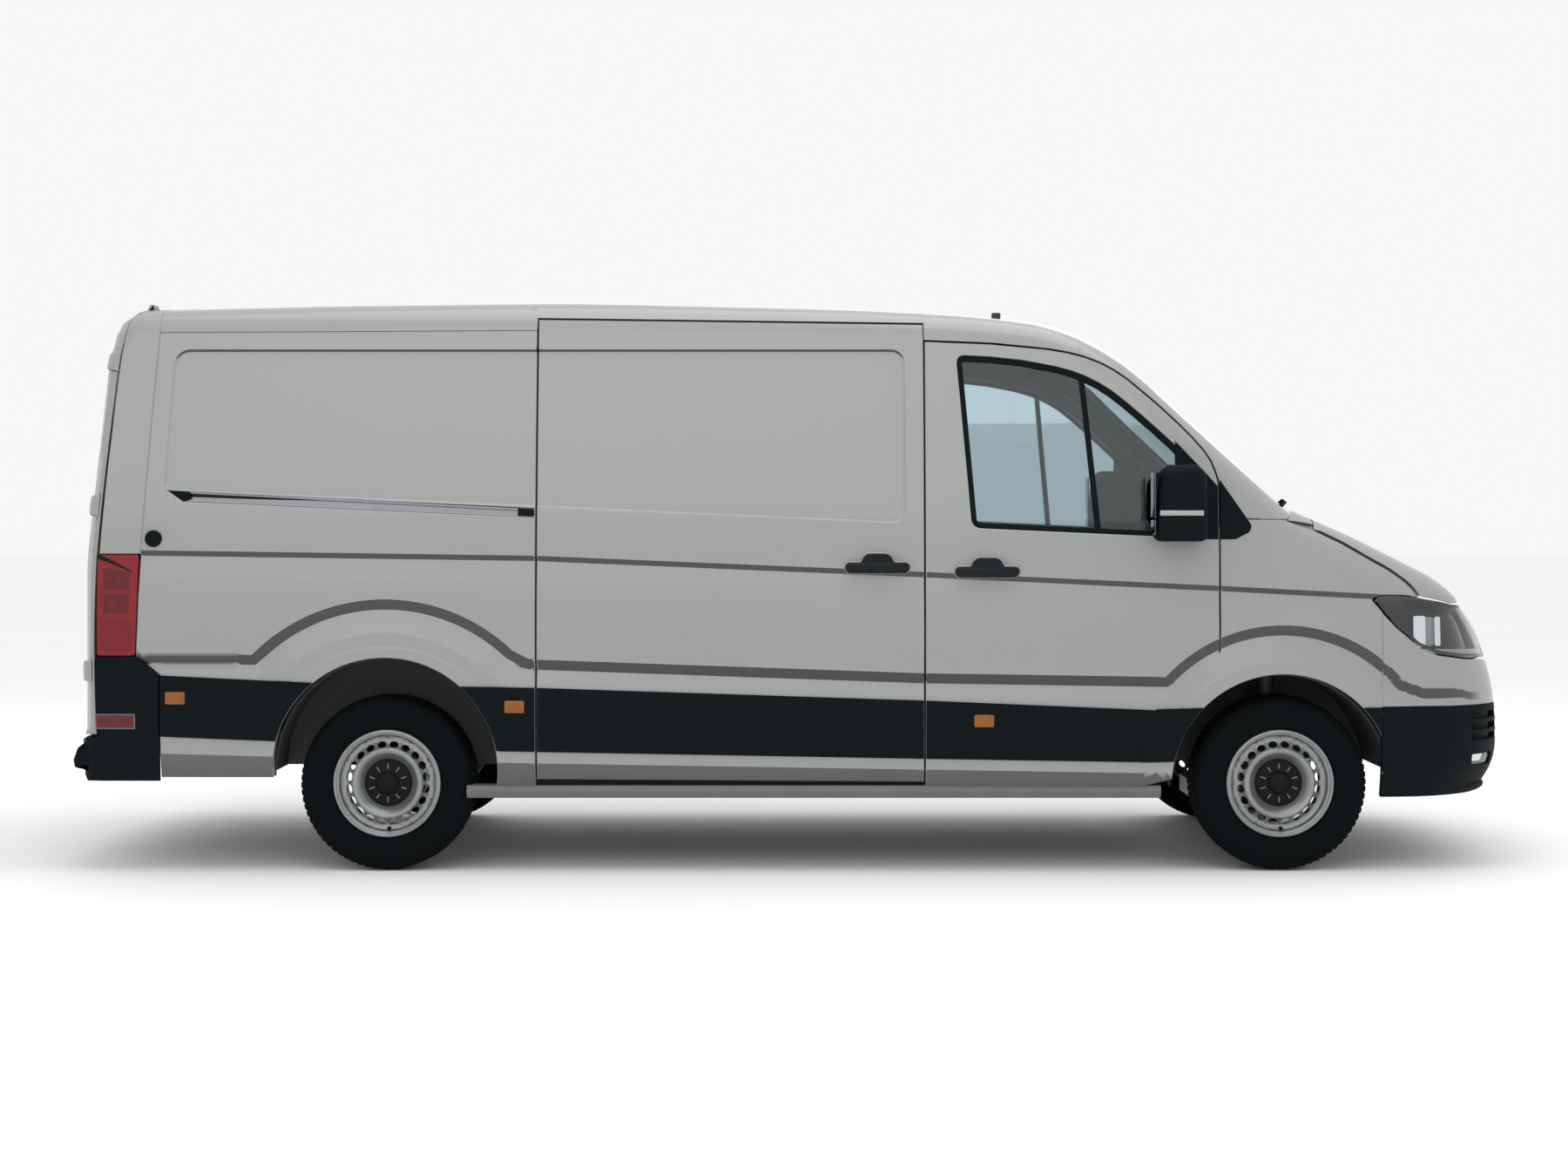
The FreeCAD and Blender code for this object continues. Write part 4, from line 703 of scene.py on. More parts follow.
LENS_GREY = material("lens_grey", "lamp_clear", (0.34, 0.35, 0.33), 0.18, 500, 0.12, 0.08, 30, 0.05,
                     coat=0.8)

SLOT_LOOKS = {slot: finish for finish, slot in (PAINT, PLASTIC, GLASS, CLEAR, RED, RUBBER, SILVER,
                                                ALUMINIUM, LINING, FABRIC, STEEL, CAST)}

for group in frame["record"]["materials"]:
    for node in group.get("nodes", []):
        looks = frame["nodes"][node].data.materials
        looks.clear()
        looks.append(SLOT_LOOKS[group["slot"]])

# Outlines of the sides, seen from the side

RIGHT, LEFT = -1, 1
SIDES = ((RIGHT, "right"), (LEFT, "left"))


def once(node, side):
    """The node that a pair of pieces replaces, named by the right one alone."""
    return (node,) if side == RIGHT else ()


DOOR = np.concatenate([
    points([(545, 345), (545, 2158), (816, 2147), (1035, 2126), (1130, 2111), (1199, 2093),
            (1262, 2069), (1317, 2040), (1372, 2002), (1424, 1958), (1500, 1893), (1572, 1826),
            (1630, 1766), (1676, 1712), (1703, 1669), (1719, 1625), (1729, 1592), (1733, 1560)]),
    arc(FRONT_AXLE, 590, 116.04, 156, 16),
    points([(1427, 345)])])
CAB_DOOR_TOP = DOOR[(DOOR[:, 1] > 1570) & (DOOR[:, 0] > 544)]
WINDOW = rounded_path([
    (672, 2103, 30), (815, 2095), (946, 2081), (1077, 2056), (1140, 2039), (1196, 2018),
    (1252, 1990), (1304, 1957), (1362, 1911), (1421, 1860), (1496, 1793), (1578, 1716),
    (1662, 1626), (1700, 1578), (1700, 1354), (733, 1398, 40)], closed=True)
SLIDER = points([(-1032, 376), (538, 366), (538, 2230), (-1032, 2250)])
REAR_ARCH = arc(REAR_AXLE, 456, 183.8, -8.7, 48)
TAIL_EDGE = [(-2579.7, 2196), (-2637.7, 1300), (-2654, 873), (-2558, 802), (-2558, 385)]
QUARTER = np.concatenate([REAR_ARCH, points([(-1039, 346), (-1039, 2205)] + TAIL_EDGE)])
LONG_SIDE = np.concatenate([
    REAR_ARCH, points([(538, 346), (538, 2150), (-1032, 2205)] + TAIL_EDGE)])
CLAD_TOP = points([(-2560, 802), (1425, 671), (2400, 671)])
CLAD_FOOT = points([(-2560, 553), (-1183, 493), (1425, 447), (2400, 447)])
GROOVE_FADE = 75.0


def trimmed(line, low, high):
    """The part of a line of rising x that lies between two values of x."""
    xs = line[:, 0]
    ends = [(value, np.interp(value, xs, line[:, 1])) for value in (low, high)]
    return np.concatenate([ends[:1], line[(xs > low) & (xs < high)], ends[1:]])


def shifted(line, down):
    """A line moved down along its own normals."""
    ahead = np.gradient(line, axis=0)
    ahead /= np.maximum(np.linalg.norm(ahead, axis=1, keepdims=True), 1e-9)
    return line + np.stack([ahead[:, 1], -ahead[:, 0]], 1) * down


def looped(line):
    return np.concatenate([line, line[:1]])


def side_lines(low, high):
    """Feature lines of the side between two values of x, for the mesh to follow."""
    lines = [trimmed(line, low, high) for line in (
        GROOVE, GROOVE - [0, GROOVE_BAND], GROOVE - [0, GROOVE_BAND + GROOVE_FADE], CREASE)]
    for down in (0, SWAGE_BAND, SWAGE_BAND + SWAGE_FADE):
        line = shifted(SWAGE, down)
        lines.append(line[(line[:, 0] > low - 200) & (line[:, 0] < high + 200)])
    if low < 400:
        lines += [looped(line) for line in (RECESS, inset(RECESS, RECESS_EDGE / 2),
                                            inset(RECESS, RECESS_EDGE))]
    for centre, lip in ARCH_LIPS:
        for radius in (lip, lip - LIP_BAND):
            line = arc(centre, radius, 160, 20, 40)
            if line[:, 0].max() > low and line[:, 0].min() < high:
                lines.append(line)
    return lines


for side, tag in SIDES:
    side_panel("door_skin_" + tag, DOOR, side, PAINT, "front_door_" + tag, holes=[WINDOW],
               lines=side_lines(545, 1733), thickness=55, replaces=("front_door_" + tag,))
for name, side, outline, holes, low, high, depth, node in (
        ("slider_skin", RIGHT, SLIDER, [], -1032, 538, 55, "sliding_door"),
        ("quarter_skin", RIGHT, QUARTER, [SLOT], -2654, -1039, 40, "body_side_right"),
        ("side_skin_left", LEFT, LONG_SIDE, [], -2654, 545, 40, "body_side_left")):
    side_panel(name, outline, side, PAINT, recess=True, holes=holes, lines=side_lines(low, high),
               thickness=depth, replaces=(node,))

# Roof, drawn as cross sections from seam to seam

ROOF_FRONT, ROOF_BACK = 1179.0, -2579.7
RIBS = (-560, -280, 0, 280, 560)
RIB_DEPTH = 6
ROOF_STEPS = 46


def cross_section(x, low):
    """Half of the body's outer line at x, from height low up to the centre line."""
    top = float(edge_line(x))
    cosine = float(roof_cosine(x))
    foot = top - ROOF_RADIUS / cosine
    if low < foot:
        rows = [(float(half_width(z)), z) for z in np.linspace(low, foot, 5)[:-1]]
        first = 0.0
    else:
        rows = []
        first = math.asin(min(1.0, (ROOF_RADIUS - (top - low) * cosine) / ROOF_RADIUS))
    for angle in np.linspace(first, math.pi / 2, 9):
        z = top + (ROOF_RADIUS * math.sin(angle) - ROOF_RADIUS) / cosine
        rows.append((float(half_width(z)) - ROOF_RADIUS + ROOF_RADIUS * math.cos(angle), z))
    edge = rows[-1][0]
    rise = float(edge_drop(x))
    return rows + [(y, top + rise * (1 - (y / edge) ** 2)) for y in np.linspace(edge, 0, 20)[1:]]


def roof_seam(x, side):
    """Height at which the roof meets the side at x."""
    if x > 541.5:
        return float(np.interp(x, CAB_DOOR_TOP[:, 0], CAB_DOOR_TOP[:, 1] + 8))
    if side == RIGHT and x > -1039:
        return float(np.interp(x, [-1032, 538], [2257, 2237]))
    return float(np.interp(x, [-2580, -1032, 545], [2197, 2206, 2151]))


def evened(line, count):
    """The same line, cut by a number of evenly spaced points."""
    line = points(line)
    runs = np.concatenate([[0], np.cumsum(np.linalg.norm(np.diff(line, axis=0), axis=1))])
    at = np.linspace(0, runs[-1], count)
    return np.stack([np.interp(at, runs, column) for column in line.T], 1)


stations = np.concatenate([np.arange(ROOF_BACK, -1040, 60), [-1039.2, -1038.8],
                           np.arange(-1000, 500, 60), [541.3, 541.7],
                           np.arange(600, ROOF_FRONT, 45), [ROOF_FRONT]])
grid = []
for x in stations:
    right = [(-y, z) for y, z in cross_section(x, roof_seam(x, RIGHT))]
    left = cross_section(x, roof_seam(x, LEFT))[::-1][1:]
    line = np.concatenate([evened(right, ROOF_STEPS), evened(left, ROOF_STEPS)])
    load = smooth((x + 2450) / 60) * smooth((430 - x) / 60)
    for rib in RIBS:
        line[:, 1] -= RIB_DEPTH * load * smooth((42 - np.abs(line[:, 0] - rib)) / 16)
    grid.append(np.stack([np.full(len(line), x), line[:, 0], line[:, 1]], 1))
sheet("roof_skin", np.array(grid), PAINT, thickness=24, replaces=("roof",))

# Windscreen and the frame of the cab round it, mapped by (x, distance from the centre line)

FLAT = 700.0
BEND = 160.0
SEAM_X = 1179.6
COWL_HEIGHT = 1434.0
SCREEN_HALF, SCREEN_FOOT_HALF = 790, 682
GLASS_FOOT = 36


def cab_across(x, z):
    """How far round the cross section a height lies, from the centre line."""
    top = edge_line(x)
    cosine = roof_cosine(x)
    bound = np.clip(((z - top) * cosine + ROOF_RADIUS) / ROOF_RADIUS, -1, 1)
    bend = FLAT + BEND * np.arccos(np.clip(bound, 0, 1)) / (math.pi / 2)
    foot = top - ROOF_RADIUS / cosine
    return np.where(z < foot, FLAT + BEND + foot - z, bend)


def cab_place(at, out=0.0):
    """Map from (x, distance from the centre line) to the roof and windscreen."""
    x, v = at[:, 0], at[:, 1]
    far = np.abs(v)
    top = edge_line(x)
    cosine = roof_cosine(x)
    turn = np.clip((far - FLAT) / BEND, 0, 1) * math.pi / 2
    z = top + ROOF_RADIUS * (np.cos(turn) - 1) / cosine
    z = z - np.maximum(far - FLAT - BEND, 0)
    z = z + edge_drop(x) * (1 - np.minimum(far / FLAT, 1.0) ** 2)
    y_flat = (half_width(top) - ROOF_RADIUS) * far / FLAT
    y_bend = half_width(z) - ROOF_RADIUS + ROOF_RADIUS * np.sin(turn)
    y = np.where(far <= FLAT, y_flat, y_bend)
    sine = np.sqrt(np.maximum(1 - cosine ** 2, 0))
    lift = out * np.cos(turn)
    return np.stack([x + lift * sine, np.sign(v) * (y + out * np.sin(turn)), z + lift * cosine], 1)


def screen_point(x, y):
    edge = float(half_width(edge_line(x))) - ROOF_RADIUS
    return (x, y / edge * FLAT)


def cowl_x(v):
    """Where the windscreen's plane comes down to the height of the cowl."""
    x = np.linspace(1700, 2300, 1201)
    z = roof_line(x) - edge_drop(x) * min(abs(v) / FLAT, 1.0) ** 2
    return float(np.interp(-COWL_HEIGHT, -z, x))


seam = [(SEAM_X, roof_seam(SEAM_X, RIGHT))]
seam += [(x + 5, z + 6) for x, z in CAB_DOOR_TOP[CAB_DOOR_TOP[:, 0] > 1184]]
seam += [(1740, 1563), (1740, COWL_HEIGHT)]
seam += [(x, COWL_HEIGHT) for x in np.linspace(1765, cowl_x(FLAT) - 2, 8)]
edge_points = [(x, float(cab_across(points([x]), points([z]))[0])) for x, z in seam]
CAB_FRAME = points([(x, -v) for x, v in edge_points]
                   + [(cowl_x(v), v) for v in (-600, -450, -300, -150, 0, 150, 300, 450, 600)]
                   + edge_points[::-1] + [(SEAM_X, v) for v in (600, 300, 0, -300, -600)])
foot_x = cowl_x(SCREEN_FOOT_HALF) - GLASS_FOOT
SCREEN = rounded_path([screen_point(1302, -SCREEN_HALF) + (60,),
                       (foot_x, -SCREEN_FOOT_HALF, 50)]
                      + [(cowl_x(v) - GLASS_FOOT, v) for v in (-450, -225, 0, 225, 450)]
                      + [(foot_x, SCREEN_FOOT_HALF, 50),
                         screen_point(1302, SCREEN_HALF) + (60,)], closed=True)
panel("cab_skin", CAB_FRAME, cab_place, PAINT, holes=[inset(SCREEN, -1)], spacing=50,
      thickness=24, replaces=("cab_frame",))
panel("windscreen_pane", SCREEN, off(cab_place, -3.0), GLASS, spacing=60, thickness=5, chamfer=0,
      replaces=("windscreen",))
panel("windscreen_band", inset(SCREEN, 1), off(cab_place, -9.5), GLOSS, holes=[inset(SCREEN, 38)],
      spacing=60, thickness=3, chamfer=0)

# Maps of the two ends: rays from a spine inside meet the form, w running round the end

REAR_PIVOT, REAR_FLAT, REAR_TURN = -2650.0, 800.0, 220.0
NOSE_PIVOT, NOSE_FLAT, NOSE_TURN = 2500.0, 560.0, 500.0
QUARTER_TURN = math.pi / 2
# Where the cabin's form gives way to the nose's, and where the pressed lines fade out
BLEND_START, BLEND_LENGTH, BLEND_DEPTH = 2110, 290, 60
LINES_END, LINES_FADE = 2960, 240


def end_place(at, ahead, pivot, flat, turn, bound, start, reach):
    """Where the rays of (w, height) meet a form, and their ways; ahead is -1 for the rear."""
    far = np.abs(at[:, 0])
    sign = np.where(at[:, 0] < 0, -1.0, 1.0)
    angle = np.clip((far - flat) / turn, 0, QUARTER_TURN)
    way = np.stack([ahead * np.cos(angle), sign * np.sin(angle), np.zeros(len(at))], 1)
    back = np.maximum(far - flat - turn * QUARTER_TURN, 0)
    base = np.stack([pivot - ahead * back, sign * np.minimum(far, flat), at[:, 1]], 1)
    return trace(base + way * start, -way, bound, reach), way


def rear_place(at, out=0.0):
    """Map from (distance round the rear, height) to the rear of the van."""
    hit, way = end_place(at, -1, REAR_PIVOT, REAR_FLAT, REAR_TURN, cabin_distance, 700, 1600.0)
    return hit + way * out


def front_distance(p):
    plain = nose_distance(p)
    along = p[:, 0] - BLEND_START
    blended = np.minimum(cabin_distance(p) + BLEND_DEPTH * smooth(along / BLEND_LENGTH), plain)
    return np.where(along > BLEND_LENGTH, plain, blended)


def front_place(at, out=0.0):
    """Map from (distance round the nose, height) to the nose of the van."""
    hit, way = end_place(at, 1, NOSE_PIVOT, NOSE_FLAT, NOSE_TURN, front_distance, 900, 900)
    fading = smooth((LINES_END - hit[:, 0]) / LINES_FADE)
    sunk = side_depth(hit[:, 0], hit[:, 2], False) * fading
    return hit + way * (out - sunk)[:, None]


def rear_across(x, z):
    """Where a point seen from the side lies round the rear."""
    w = np.linspace(REAR_FLAT, REAR_FLAT + REAR_TURN * QUARTER_TURN + 500, 160)
    return float(np.interp(x, rear_place(np.stack([w, np.full(len(w), z)], 1))[:, 0], w))


def front_across(x, z):
    """Where a point seen from the side lies round the nose."""
    w = np.linspace(NOSE_FLAT, NOSE_FLAT + NOSE_TURN * QUARTER_TURN + 800, 220)
    return float(np.interp(-x, -front_place(np.stack([w, np.full(len(w), float(z))], 1))[:, 0], w))


def rear_line(places):
    return [(rear_across(x, z), z) for x, z in places]


def front_line(places):
    return [(front_across(x, z), z) for x, z in places]


def sided(outline, side):
    """An outline round one of the ends, on the given side of the centre line."""
    return points(outline) * [side, 1]


def bumped(place, bound, rounds=8):
    """Points drawn onto a form along its own slope."""
    for _ in range(rounds):
        here = bound(place)
        slope = np.stack([bound(place + step) - bound(place - step)
                          for step in np.eye(3)], 1) / 2.0
        slope /= np.maximum(np.linalg.norm(slope, axis=1, keepdims=True), 1e-6)
        place = place - slope * here[:, None]
    return place


def lofted(name, first, second, bound, rows, look, body, thickness, replaces=()):
    """A sheet between two curves, drawn onto the body's form."""
    grid = np.array([first + (second - first) * step for step in np.linspace(0, 1, rows)])
    within = grid[1:-1]
    grid[1:-1] = bumped(within.reshape(-1, 3), bound).reshape(within.shape)
    return sheet(name, grid, look, body, thickness, replaces)


# Rear: header, corner posts, two doors and the tail lamps

DOOR_TOP, DOOR_FOOT = 2288.0, 561.0
door_edge = rear_line([(-2816, DOOR_FOOT), (-2816, 1270), (-2770, 1800), (-2722, 2200)])
top_corner = (door_edge[-1][0] - 40, DOOR_TOP)
rear_door = [(3.6, DOOR_FOOT)] + door_edge + [top_corner, (3.6, DOOR_TOP)]
for side, tag in SIDES:
    panel("rear_door_skin_" + tag, sided(rear_door, side), rear_place, PAINT, "rear_door_" + tag,
          spacing=55, thickness=45, flip=True, replaces=("rear_door_" + tag,))

HEADER_FOOT = 2295.0
POST_FRONT = -2580.3
HEADER_STEPS = 61
header_end = rear_across(POST_FRONT, HEADER_FOOT)
foot_curve = rear_place(np.stack([np.linspace(-header_end, header_end, HEADER_STEPS),
                                  np.full(HEADER_STEPS, HEADER_FOOT)], 1))
roof_half = points([(POST_FRONT, -y, z) for y, z in cross_section(POST_FRONT, HEADER_FOOT)])
roof_curve = np.concatenate([roof_half, (roof_half * [1, -1, 1])[::-1][1:]])
lofted("rear_header_skin", foot_curve, evened(roof_curve, HEADER_STEPS), cabin_distance, 14,
       PAINT, "root", 22, ("rear_frame",))

LAMP_LOW, LAMP_HIGH = 880.0, 1290.0
lamp_rear = [rear_across(-2809, z) for z in (LAMP_LOW, LAMP_HIGH)]
lamp_front = [rear_across(x, z) for x, z in ((-2658, LAMP_LOW), (-2644, LAMP_HIGH))]
rear_post = ([(lamp_rear[1] + 0.3, LAMP_HIGH + 2), (lamp_front[1] + 6, LAMP_HIGH + 2)]
             + rear_line([(-2638, 1302), (-2580, 2196), (-2580, HEADER_FOOT)])
             + [(top_corner[0] - 6, HEADER_FOOT), (top_corner[0] + 12, HEADER_FOOT - 8)]
             + [(w + 7, z) for w, z in door_edge[:0:-1]])
tail_lamp = rounded_path([(lamp_rear[0], LAMP_LOW, 12), (lamp_front[0], LAMP_LOW, 12),
                          (lamp_front[1], LAMP_HIGH, 12), (lamp_rear[1], LAMP_HIGH, 12)],
                         closed=True)
for side, tag in SIDES:
    panel("rear_post_skin_" + tag, sided(rear_post, side), rear_place, PAINT, spacing=45,
          thickness=24, flip=True)
    panel("tail_lamp_lens_" + tag, sided(tail_lamp, side), off(rear_place, 2.0), RED, spacing=30,
          thickness=26, chamfer=4, flip=True, replaces=once("tail_lamps", side))

# Wings

FRONT_ARCH = arc(FRONT_AXLE, 448, 181.3, -6.5, 48)
BONNET_EDGE = points([(2015, 1430), (2125, 1392), (2242, 1335), (2346, 1274), (2425, 1231),
                      (2484, 1189), (2524, 1152), (2549, 1119)])
LAMP_TOP = [(2359, 1109), (2400, 1120), (2451, 1124), (2550, 1113), (2622, 1100), (2694, 1084)]
LAMP_FOOT = [(2365, 1100), (2453, 997), (2543, 919), (2630, 883), (2748, 866)]
wing_path = np.concatenate([
    points([(1740, 1432), (1740, 893)]), arc(FRONT_AXLE, 597, 115.0, 155.5, 16),
    points([(1421, 346)]), FRONT_ARCH[FRONT_ARCH[:, 1] > 346],
    points([(2397, 346), (2397, 1056), (2356, 1103), (2356, 1112), (2399, 1123.5),
            (2451, 1127.5), (2545, 1116.5)]),
    BONNET_EDGE[::-1] - [1.6, 1.8], points([(2010, 1432)])])
wing = [wing_path[0]]
for place in wing_path[1:]:
    if math.dist(place, wing[-1]) > 0.5:
        wing.append(place)
for side, tag in SIDES:
    side_panel("wing_skin_" + tag, wing, side, PAINT, nose=True, lines=side_lines(1733, 2500),
               spacing=40, thickness=20, replaces=("wing_" + tag,))

# Bonnet, its edge running from cowl to cowl round the front, and the cowl panel behind it

CURVE_STEPS = 121
COWL_JOINT = 2124.0
half_edge = points(front_line(BONNET_EDGE + [1.4, 1.6]) + front_line([(2694, 1089)])
                   + [(700, 1086), (560, 1085), (280, 1086), (0, 1087)])
half_edge = spaced(half_edge, 4)
spread = np.linspace(-1, 1, CURVE_STEPS)


def cross_curve(start, reach=0.0):
    """A line over the bonnet to the other side from a given place, reaching forward between."""
    x = start[0] + reach * (1 - spread ** 2)
    curve = np.stack([x, spread * abs(start[1]), np.full(CURVE_STEPS, 1430.0)], 1)
    for _ in range(14):
        curve = bumped(curve, nose_distance, 1)
        curve[:, 0] = x
    return curve


whole_edge = front_place(np.concatenate([half_edge * [-1, 1], half_edge[::-1][1:]]))
bonnet_edge = evened(whole_edge[whole_edge[:, 0] > COWL_JOINT + 3], CURVE_STEPS)
bonnet_rear = cross_curve(bonnet_edge[0])
bonnet_rear[0], bonnet_rear[-1] = bonnet_edge[0], bonnet_edge[-1]
joint_height = float(np.interp(COWL_JOINT, BONNET_EDGE[:, 0], BONNET_EDGE[:, 1])) + 1.6
joint_corner = front_place(points(front_line([(COWL_JOINT, joint_height)])))[0]
lofted("cowl_panel", cross_curve(joint_corner),
       cross_curve(whole_edge[0], cowl_x(0) + 6 - whole_edge[0, 0]), nose_distance, 8, PAINT,
       "root", 7)
lofted("bonnet_skin", bonnet_edge, bonnet_rear, nose_distance, 40, PAINT, "bonnet", 7, ("bonnet",))
gutter = np.concatenate([BONNET_EDGE - [10, 14], (BONNET_EDGE + [8, 12])[::-1]])
for side, tag in SIDES:
    side_panel("wing_gutter_" + tag, gutter, side, PAINT, extra=-11, nose=True, spacing=40,
               thickness=6, chamfer=0)

# Bumper, headlamps and grille

PLASTIC_TOP = 671.0
bumper_half = ([(front_across(2397.3, 671), 671.5)] + front_line([(2397.3, 1052)])
               + front_line([(x, z - 4) for x, z in LAMP_FOOT[1:]])
               + [(760, 846), (572, 842), (552, 838), (0, 838)])
upper = np.concatenate([sided(bumper_half, -1), points(bumper_half[::-1][1:])])
panel("bumper_skin", upper, front_place, PAINT, spacing=15, thickness=22,
      replaces=("front_bumper",))
low_half = points([(front_across(2397, 302), 302), (front_across(2397, 665), PLASTIC_TOP)])
vents = []
for side in (RIGHT, LEFT):
    vents += [sided(rounded_box(700, z - 13, 1010, z + 15, 10), side) for z in (628, 584, 540)]
    vents.append(sided(rounded_path([(820, 424, 14), (985, 424, 14), (1000, 474, 14),
                                     (830, 474, 14)], closed=True), side))
vents += [rounded_box(-520, z - 12, 520, z + 12, 9) for z in (600, 560, 520, 480)]
panel("bumper_lower", np.concatenate([sided(low_half, -1), low_half[::-1]]), off(front_place, 1.0),
      PLASTIC, holes=vents, spacing=40, thickness=24)

headlamp = ([(front_across(2364, 1107), 1107)] + front_line(LAMP_TOP[1:])
            + [(640, 1068), (574, 1062), (566, 856)]
            + front_line([(2748, 868), (2630, 886), (2543, 922), (2453, 1000)]))
for side, tag in SIDES:
    outline = sided(headlamp, side)
    panel("headlamp_lens_" + tag, outline, off(front_place, 1.5), CLEAR, spacing=35, thickness=4,
          chamfer=2, replaces=once("headlamps", side))
    panel("headlamp_tub_" + tag, inset(outline, 2), off(front_place, -62.0), GLOSS, spacing=35,
          thickness=3, chamfer=0)
GRILLE = points([(-552, 848), (552, 848), (552, 1070), (-552, 1070)])
slots = [rounded_box(left_end, low, right_end, low + 25, 7)
         for low in range(868, 1063, 39) for left_end, right_end in ((-528, -16), (16, 528))]
panel("grille_skin", GRILLE, off(front_place, -4.0), PLASTIC, holes=slots, spacing=40,
      thickness=30, replaces=("grille",))
panel("grille_back", inset(GRILLE, 6), off(front_place, -52.0), PLASTIC, spacing=60, thickness=3,
      chamfer=0)

# Door windows, seals and the corner cover of the mirror

DIVIDER = points([(1166, 2070), (1188, 2070), (1259, 1368), (1235, 1368)])
SAIL_DOOR = points([(1560, 1352), (1731, 1352), (1731, 1567), (1690, 1614), (1560, 1752)])
SAIL_WING = rounded_path([(1738, 1352), (1800, 1352, 30), (1878, 1392, 30), (1738, 1596)],
                         closed=True)
for side, tag in SIDES:
    body = "front_door_" + tag
    side_panel("window_seal_" + tag, inset(WINDOW, 1.0), side, PLASTIC, body, -4,
               holes=[inset(WINDOW, 22.0)], thickness=30, spacing=60)
    side_panel("door_pane_" + tag, inset(WINDOW, 12), side, GLASS, body, -14, thickness=4,
               chamfer=0, spacing=80, replaces=("door_glass_" + tag,))
    side_panel("window_divider_" + tag, DIVIDER, side, PLASTIC, body, -8, thickness=14, chamfer=2)
    side_panel("mirror_base_" + tag, SAIL_DOOR, side, PLASTIC, body, 3.5, thickness=14,
               replaces=("door_mirror_" + tag,))
    side_panel("sail_cover_" + tag, SAIL_WING, side, PLASTIC, extra=3.5, nose=True, thickness=12)

# Cladding bands between two slanting lines, cut round the wheel arches


def arch_edge(centre, radius, way):
    """Points of an arch from foot to top of the cladding; way is -1 behind the axle."""
    turn = np.radians(np.arange(0, 120, 0.5))
    line = np.stack([centre[0] + way * radius * np.cos(turn),
                     centre[1] + radius * np.sin(turn)], 1)
    low = np.interp(line[:, 0], CLAD_FOOT[:, 0], CLAD_FOOT[:, 1])
    high = np.interp(line[:, 0], CLAD_TOP[:, 0], CLAD_TOP[:, 1])
    return line[(line[:, 1] > low) & (line[:, 1] < high)][::4]


def upright(x):
    return points([(x, np.interp(x, line[:, 0], line[:, 1])) for line in (CLAD_FOOT, CLAD_TOP)])


def cladding(rear_edge, front_edge):
    """Outline between two edges, each from foot to top."""
    foot_x = CLAD_FOOT[:, 0]
    foot = CLAD_FOOT[(foot_x > rear_edge[0][0] + 1) & (foot_x < front_edge[0][0] - 1)]
    return np.concatenate([rear_edge[::-1], foot, front_edge])


BEHIND, AHEAD = -1, 1
behind_rear_arch, ahead_of_rear_arch = (arch_edge(REAR_AXLE, 459, way) for way in (BEHIND, AHEAD))
for side, tag in SIDES:
    slider_gap = [
        ("clad_middle", "root", ahead_of_rear_arch, upright(-1041), ()),
        ("clad_slider", "root", upright(-1030), upright(536), ())]
    if side == LEFT:
        slider_gap = [("clad_middle", "root", ahead_of_rear_arch, upright(536), ())]
    for name, body, rear_edge, front_edge, replaces in [
            ("clad_rear", "root", upright(-2556), behind_rear_arch, once("side_trim", side)),
            *slider_gap,
            ("clad_door", "front_door_" + tag, upright(547), arch_edge(FRONT_AXLE, 592, BEHIND),
             ("door_trim_" + tag,)),
            ("clad_wing", "root", arch_edge(FRONT_AXLE, 600, BEHIND),
             arch_edge(FRONT_AXLE, 451, BEHIND), ()),
            ("clad_ahead", "root", arch_edge(FRONT_AXLE, 451, AHEAD), upright(2395), ())]:
        side_panel(name + "_" + tag, cladding(rear_edge, front_edge), side, PLASTIC, body, 12, True,
                   spacing=60, thickness=16, chamfer=5, replaces=replaces)

for side, tag in SIDES:
    for number, (x, z, body) in enumerate(((-2493, 710, "root"), (-1121, 674, "root"),
                                           (780, 617, "front_door_" + tag))):
        side_panel("marker_%s_%d" % (tag, number), rounded_box(x - 40, z - 25, x + 40, z + 25, 7),
                   side, ORANGE, body, 17, True, spacing=30, thickness=8, chamfer=2.5)

# The sill rail's dark grey is painted shade for a flange lying in the shade under the body.
SILL_RAIL = rounded_path([(902, 300, 8), (980, 300, 12), (1000, 332, 8), (985, 352, 6),
                          (902, 352, 4)], closed=True, turn=20)
for side, tag in SIDES:
    count = len(SILL_RAIL)
    verts = [(x, side * y, z) for x in (-1318, 1500) for y, z in SILL_RAIL]
    faces = [tuple(range(count))[::-1], tuple(range(count, 2 * count))]
    faces += grid_faces(2, count, True)
    finished("sill_rail_" + tag, verts, faces, GREY, replaces=once("sills", side))

# Handles: a long base with a domed grip, on a flat seat over the groove

HANDLE_HALF = 131
HANDLE = rounded_path([(-HANDLE_HALF, -24, 23), (HANDLE_HALF, -24, 23), (HANDLE_HALF, 22, 20),
                       (66, 22, 14), (52, 58, 34), (-50, 58, 34), (-66, 22, 14),
                       (-HANDLE_HALF, 22, 20)], closed=True)


def plain_side(side, extra, swell=None):
    """Map from (x, z) to the side without its pressed lines; swell may add to it at each place."""
    def place(at):
        width = half_width(at[:, 1]) + extra
        if swell:
            width = width + swell(at)
        return np.stack([at[:, 0], side * width, at[:, 1]], 1)
    return place


def swelling(centre):
    """How far a handle bulges out, most towards its middle."""
    def swell(at):
        along = np.clip(np.abs(at[:, 0] - centre[0]) / HANDLE_HALF, 0, 1)
        rise = 16 * (1 - along ** 2) + 10 * smooth((at[:, 1] - centre[1] + 26) / 40)
        return rise * (1 - 0.65 * np.clip((at[:, 1] - centre[1] - 8) / 50, 0, 1))
    return swell


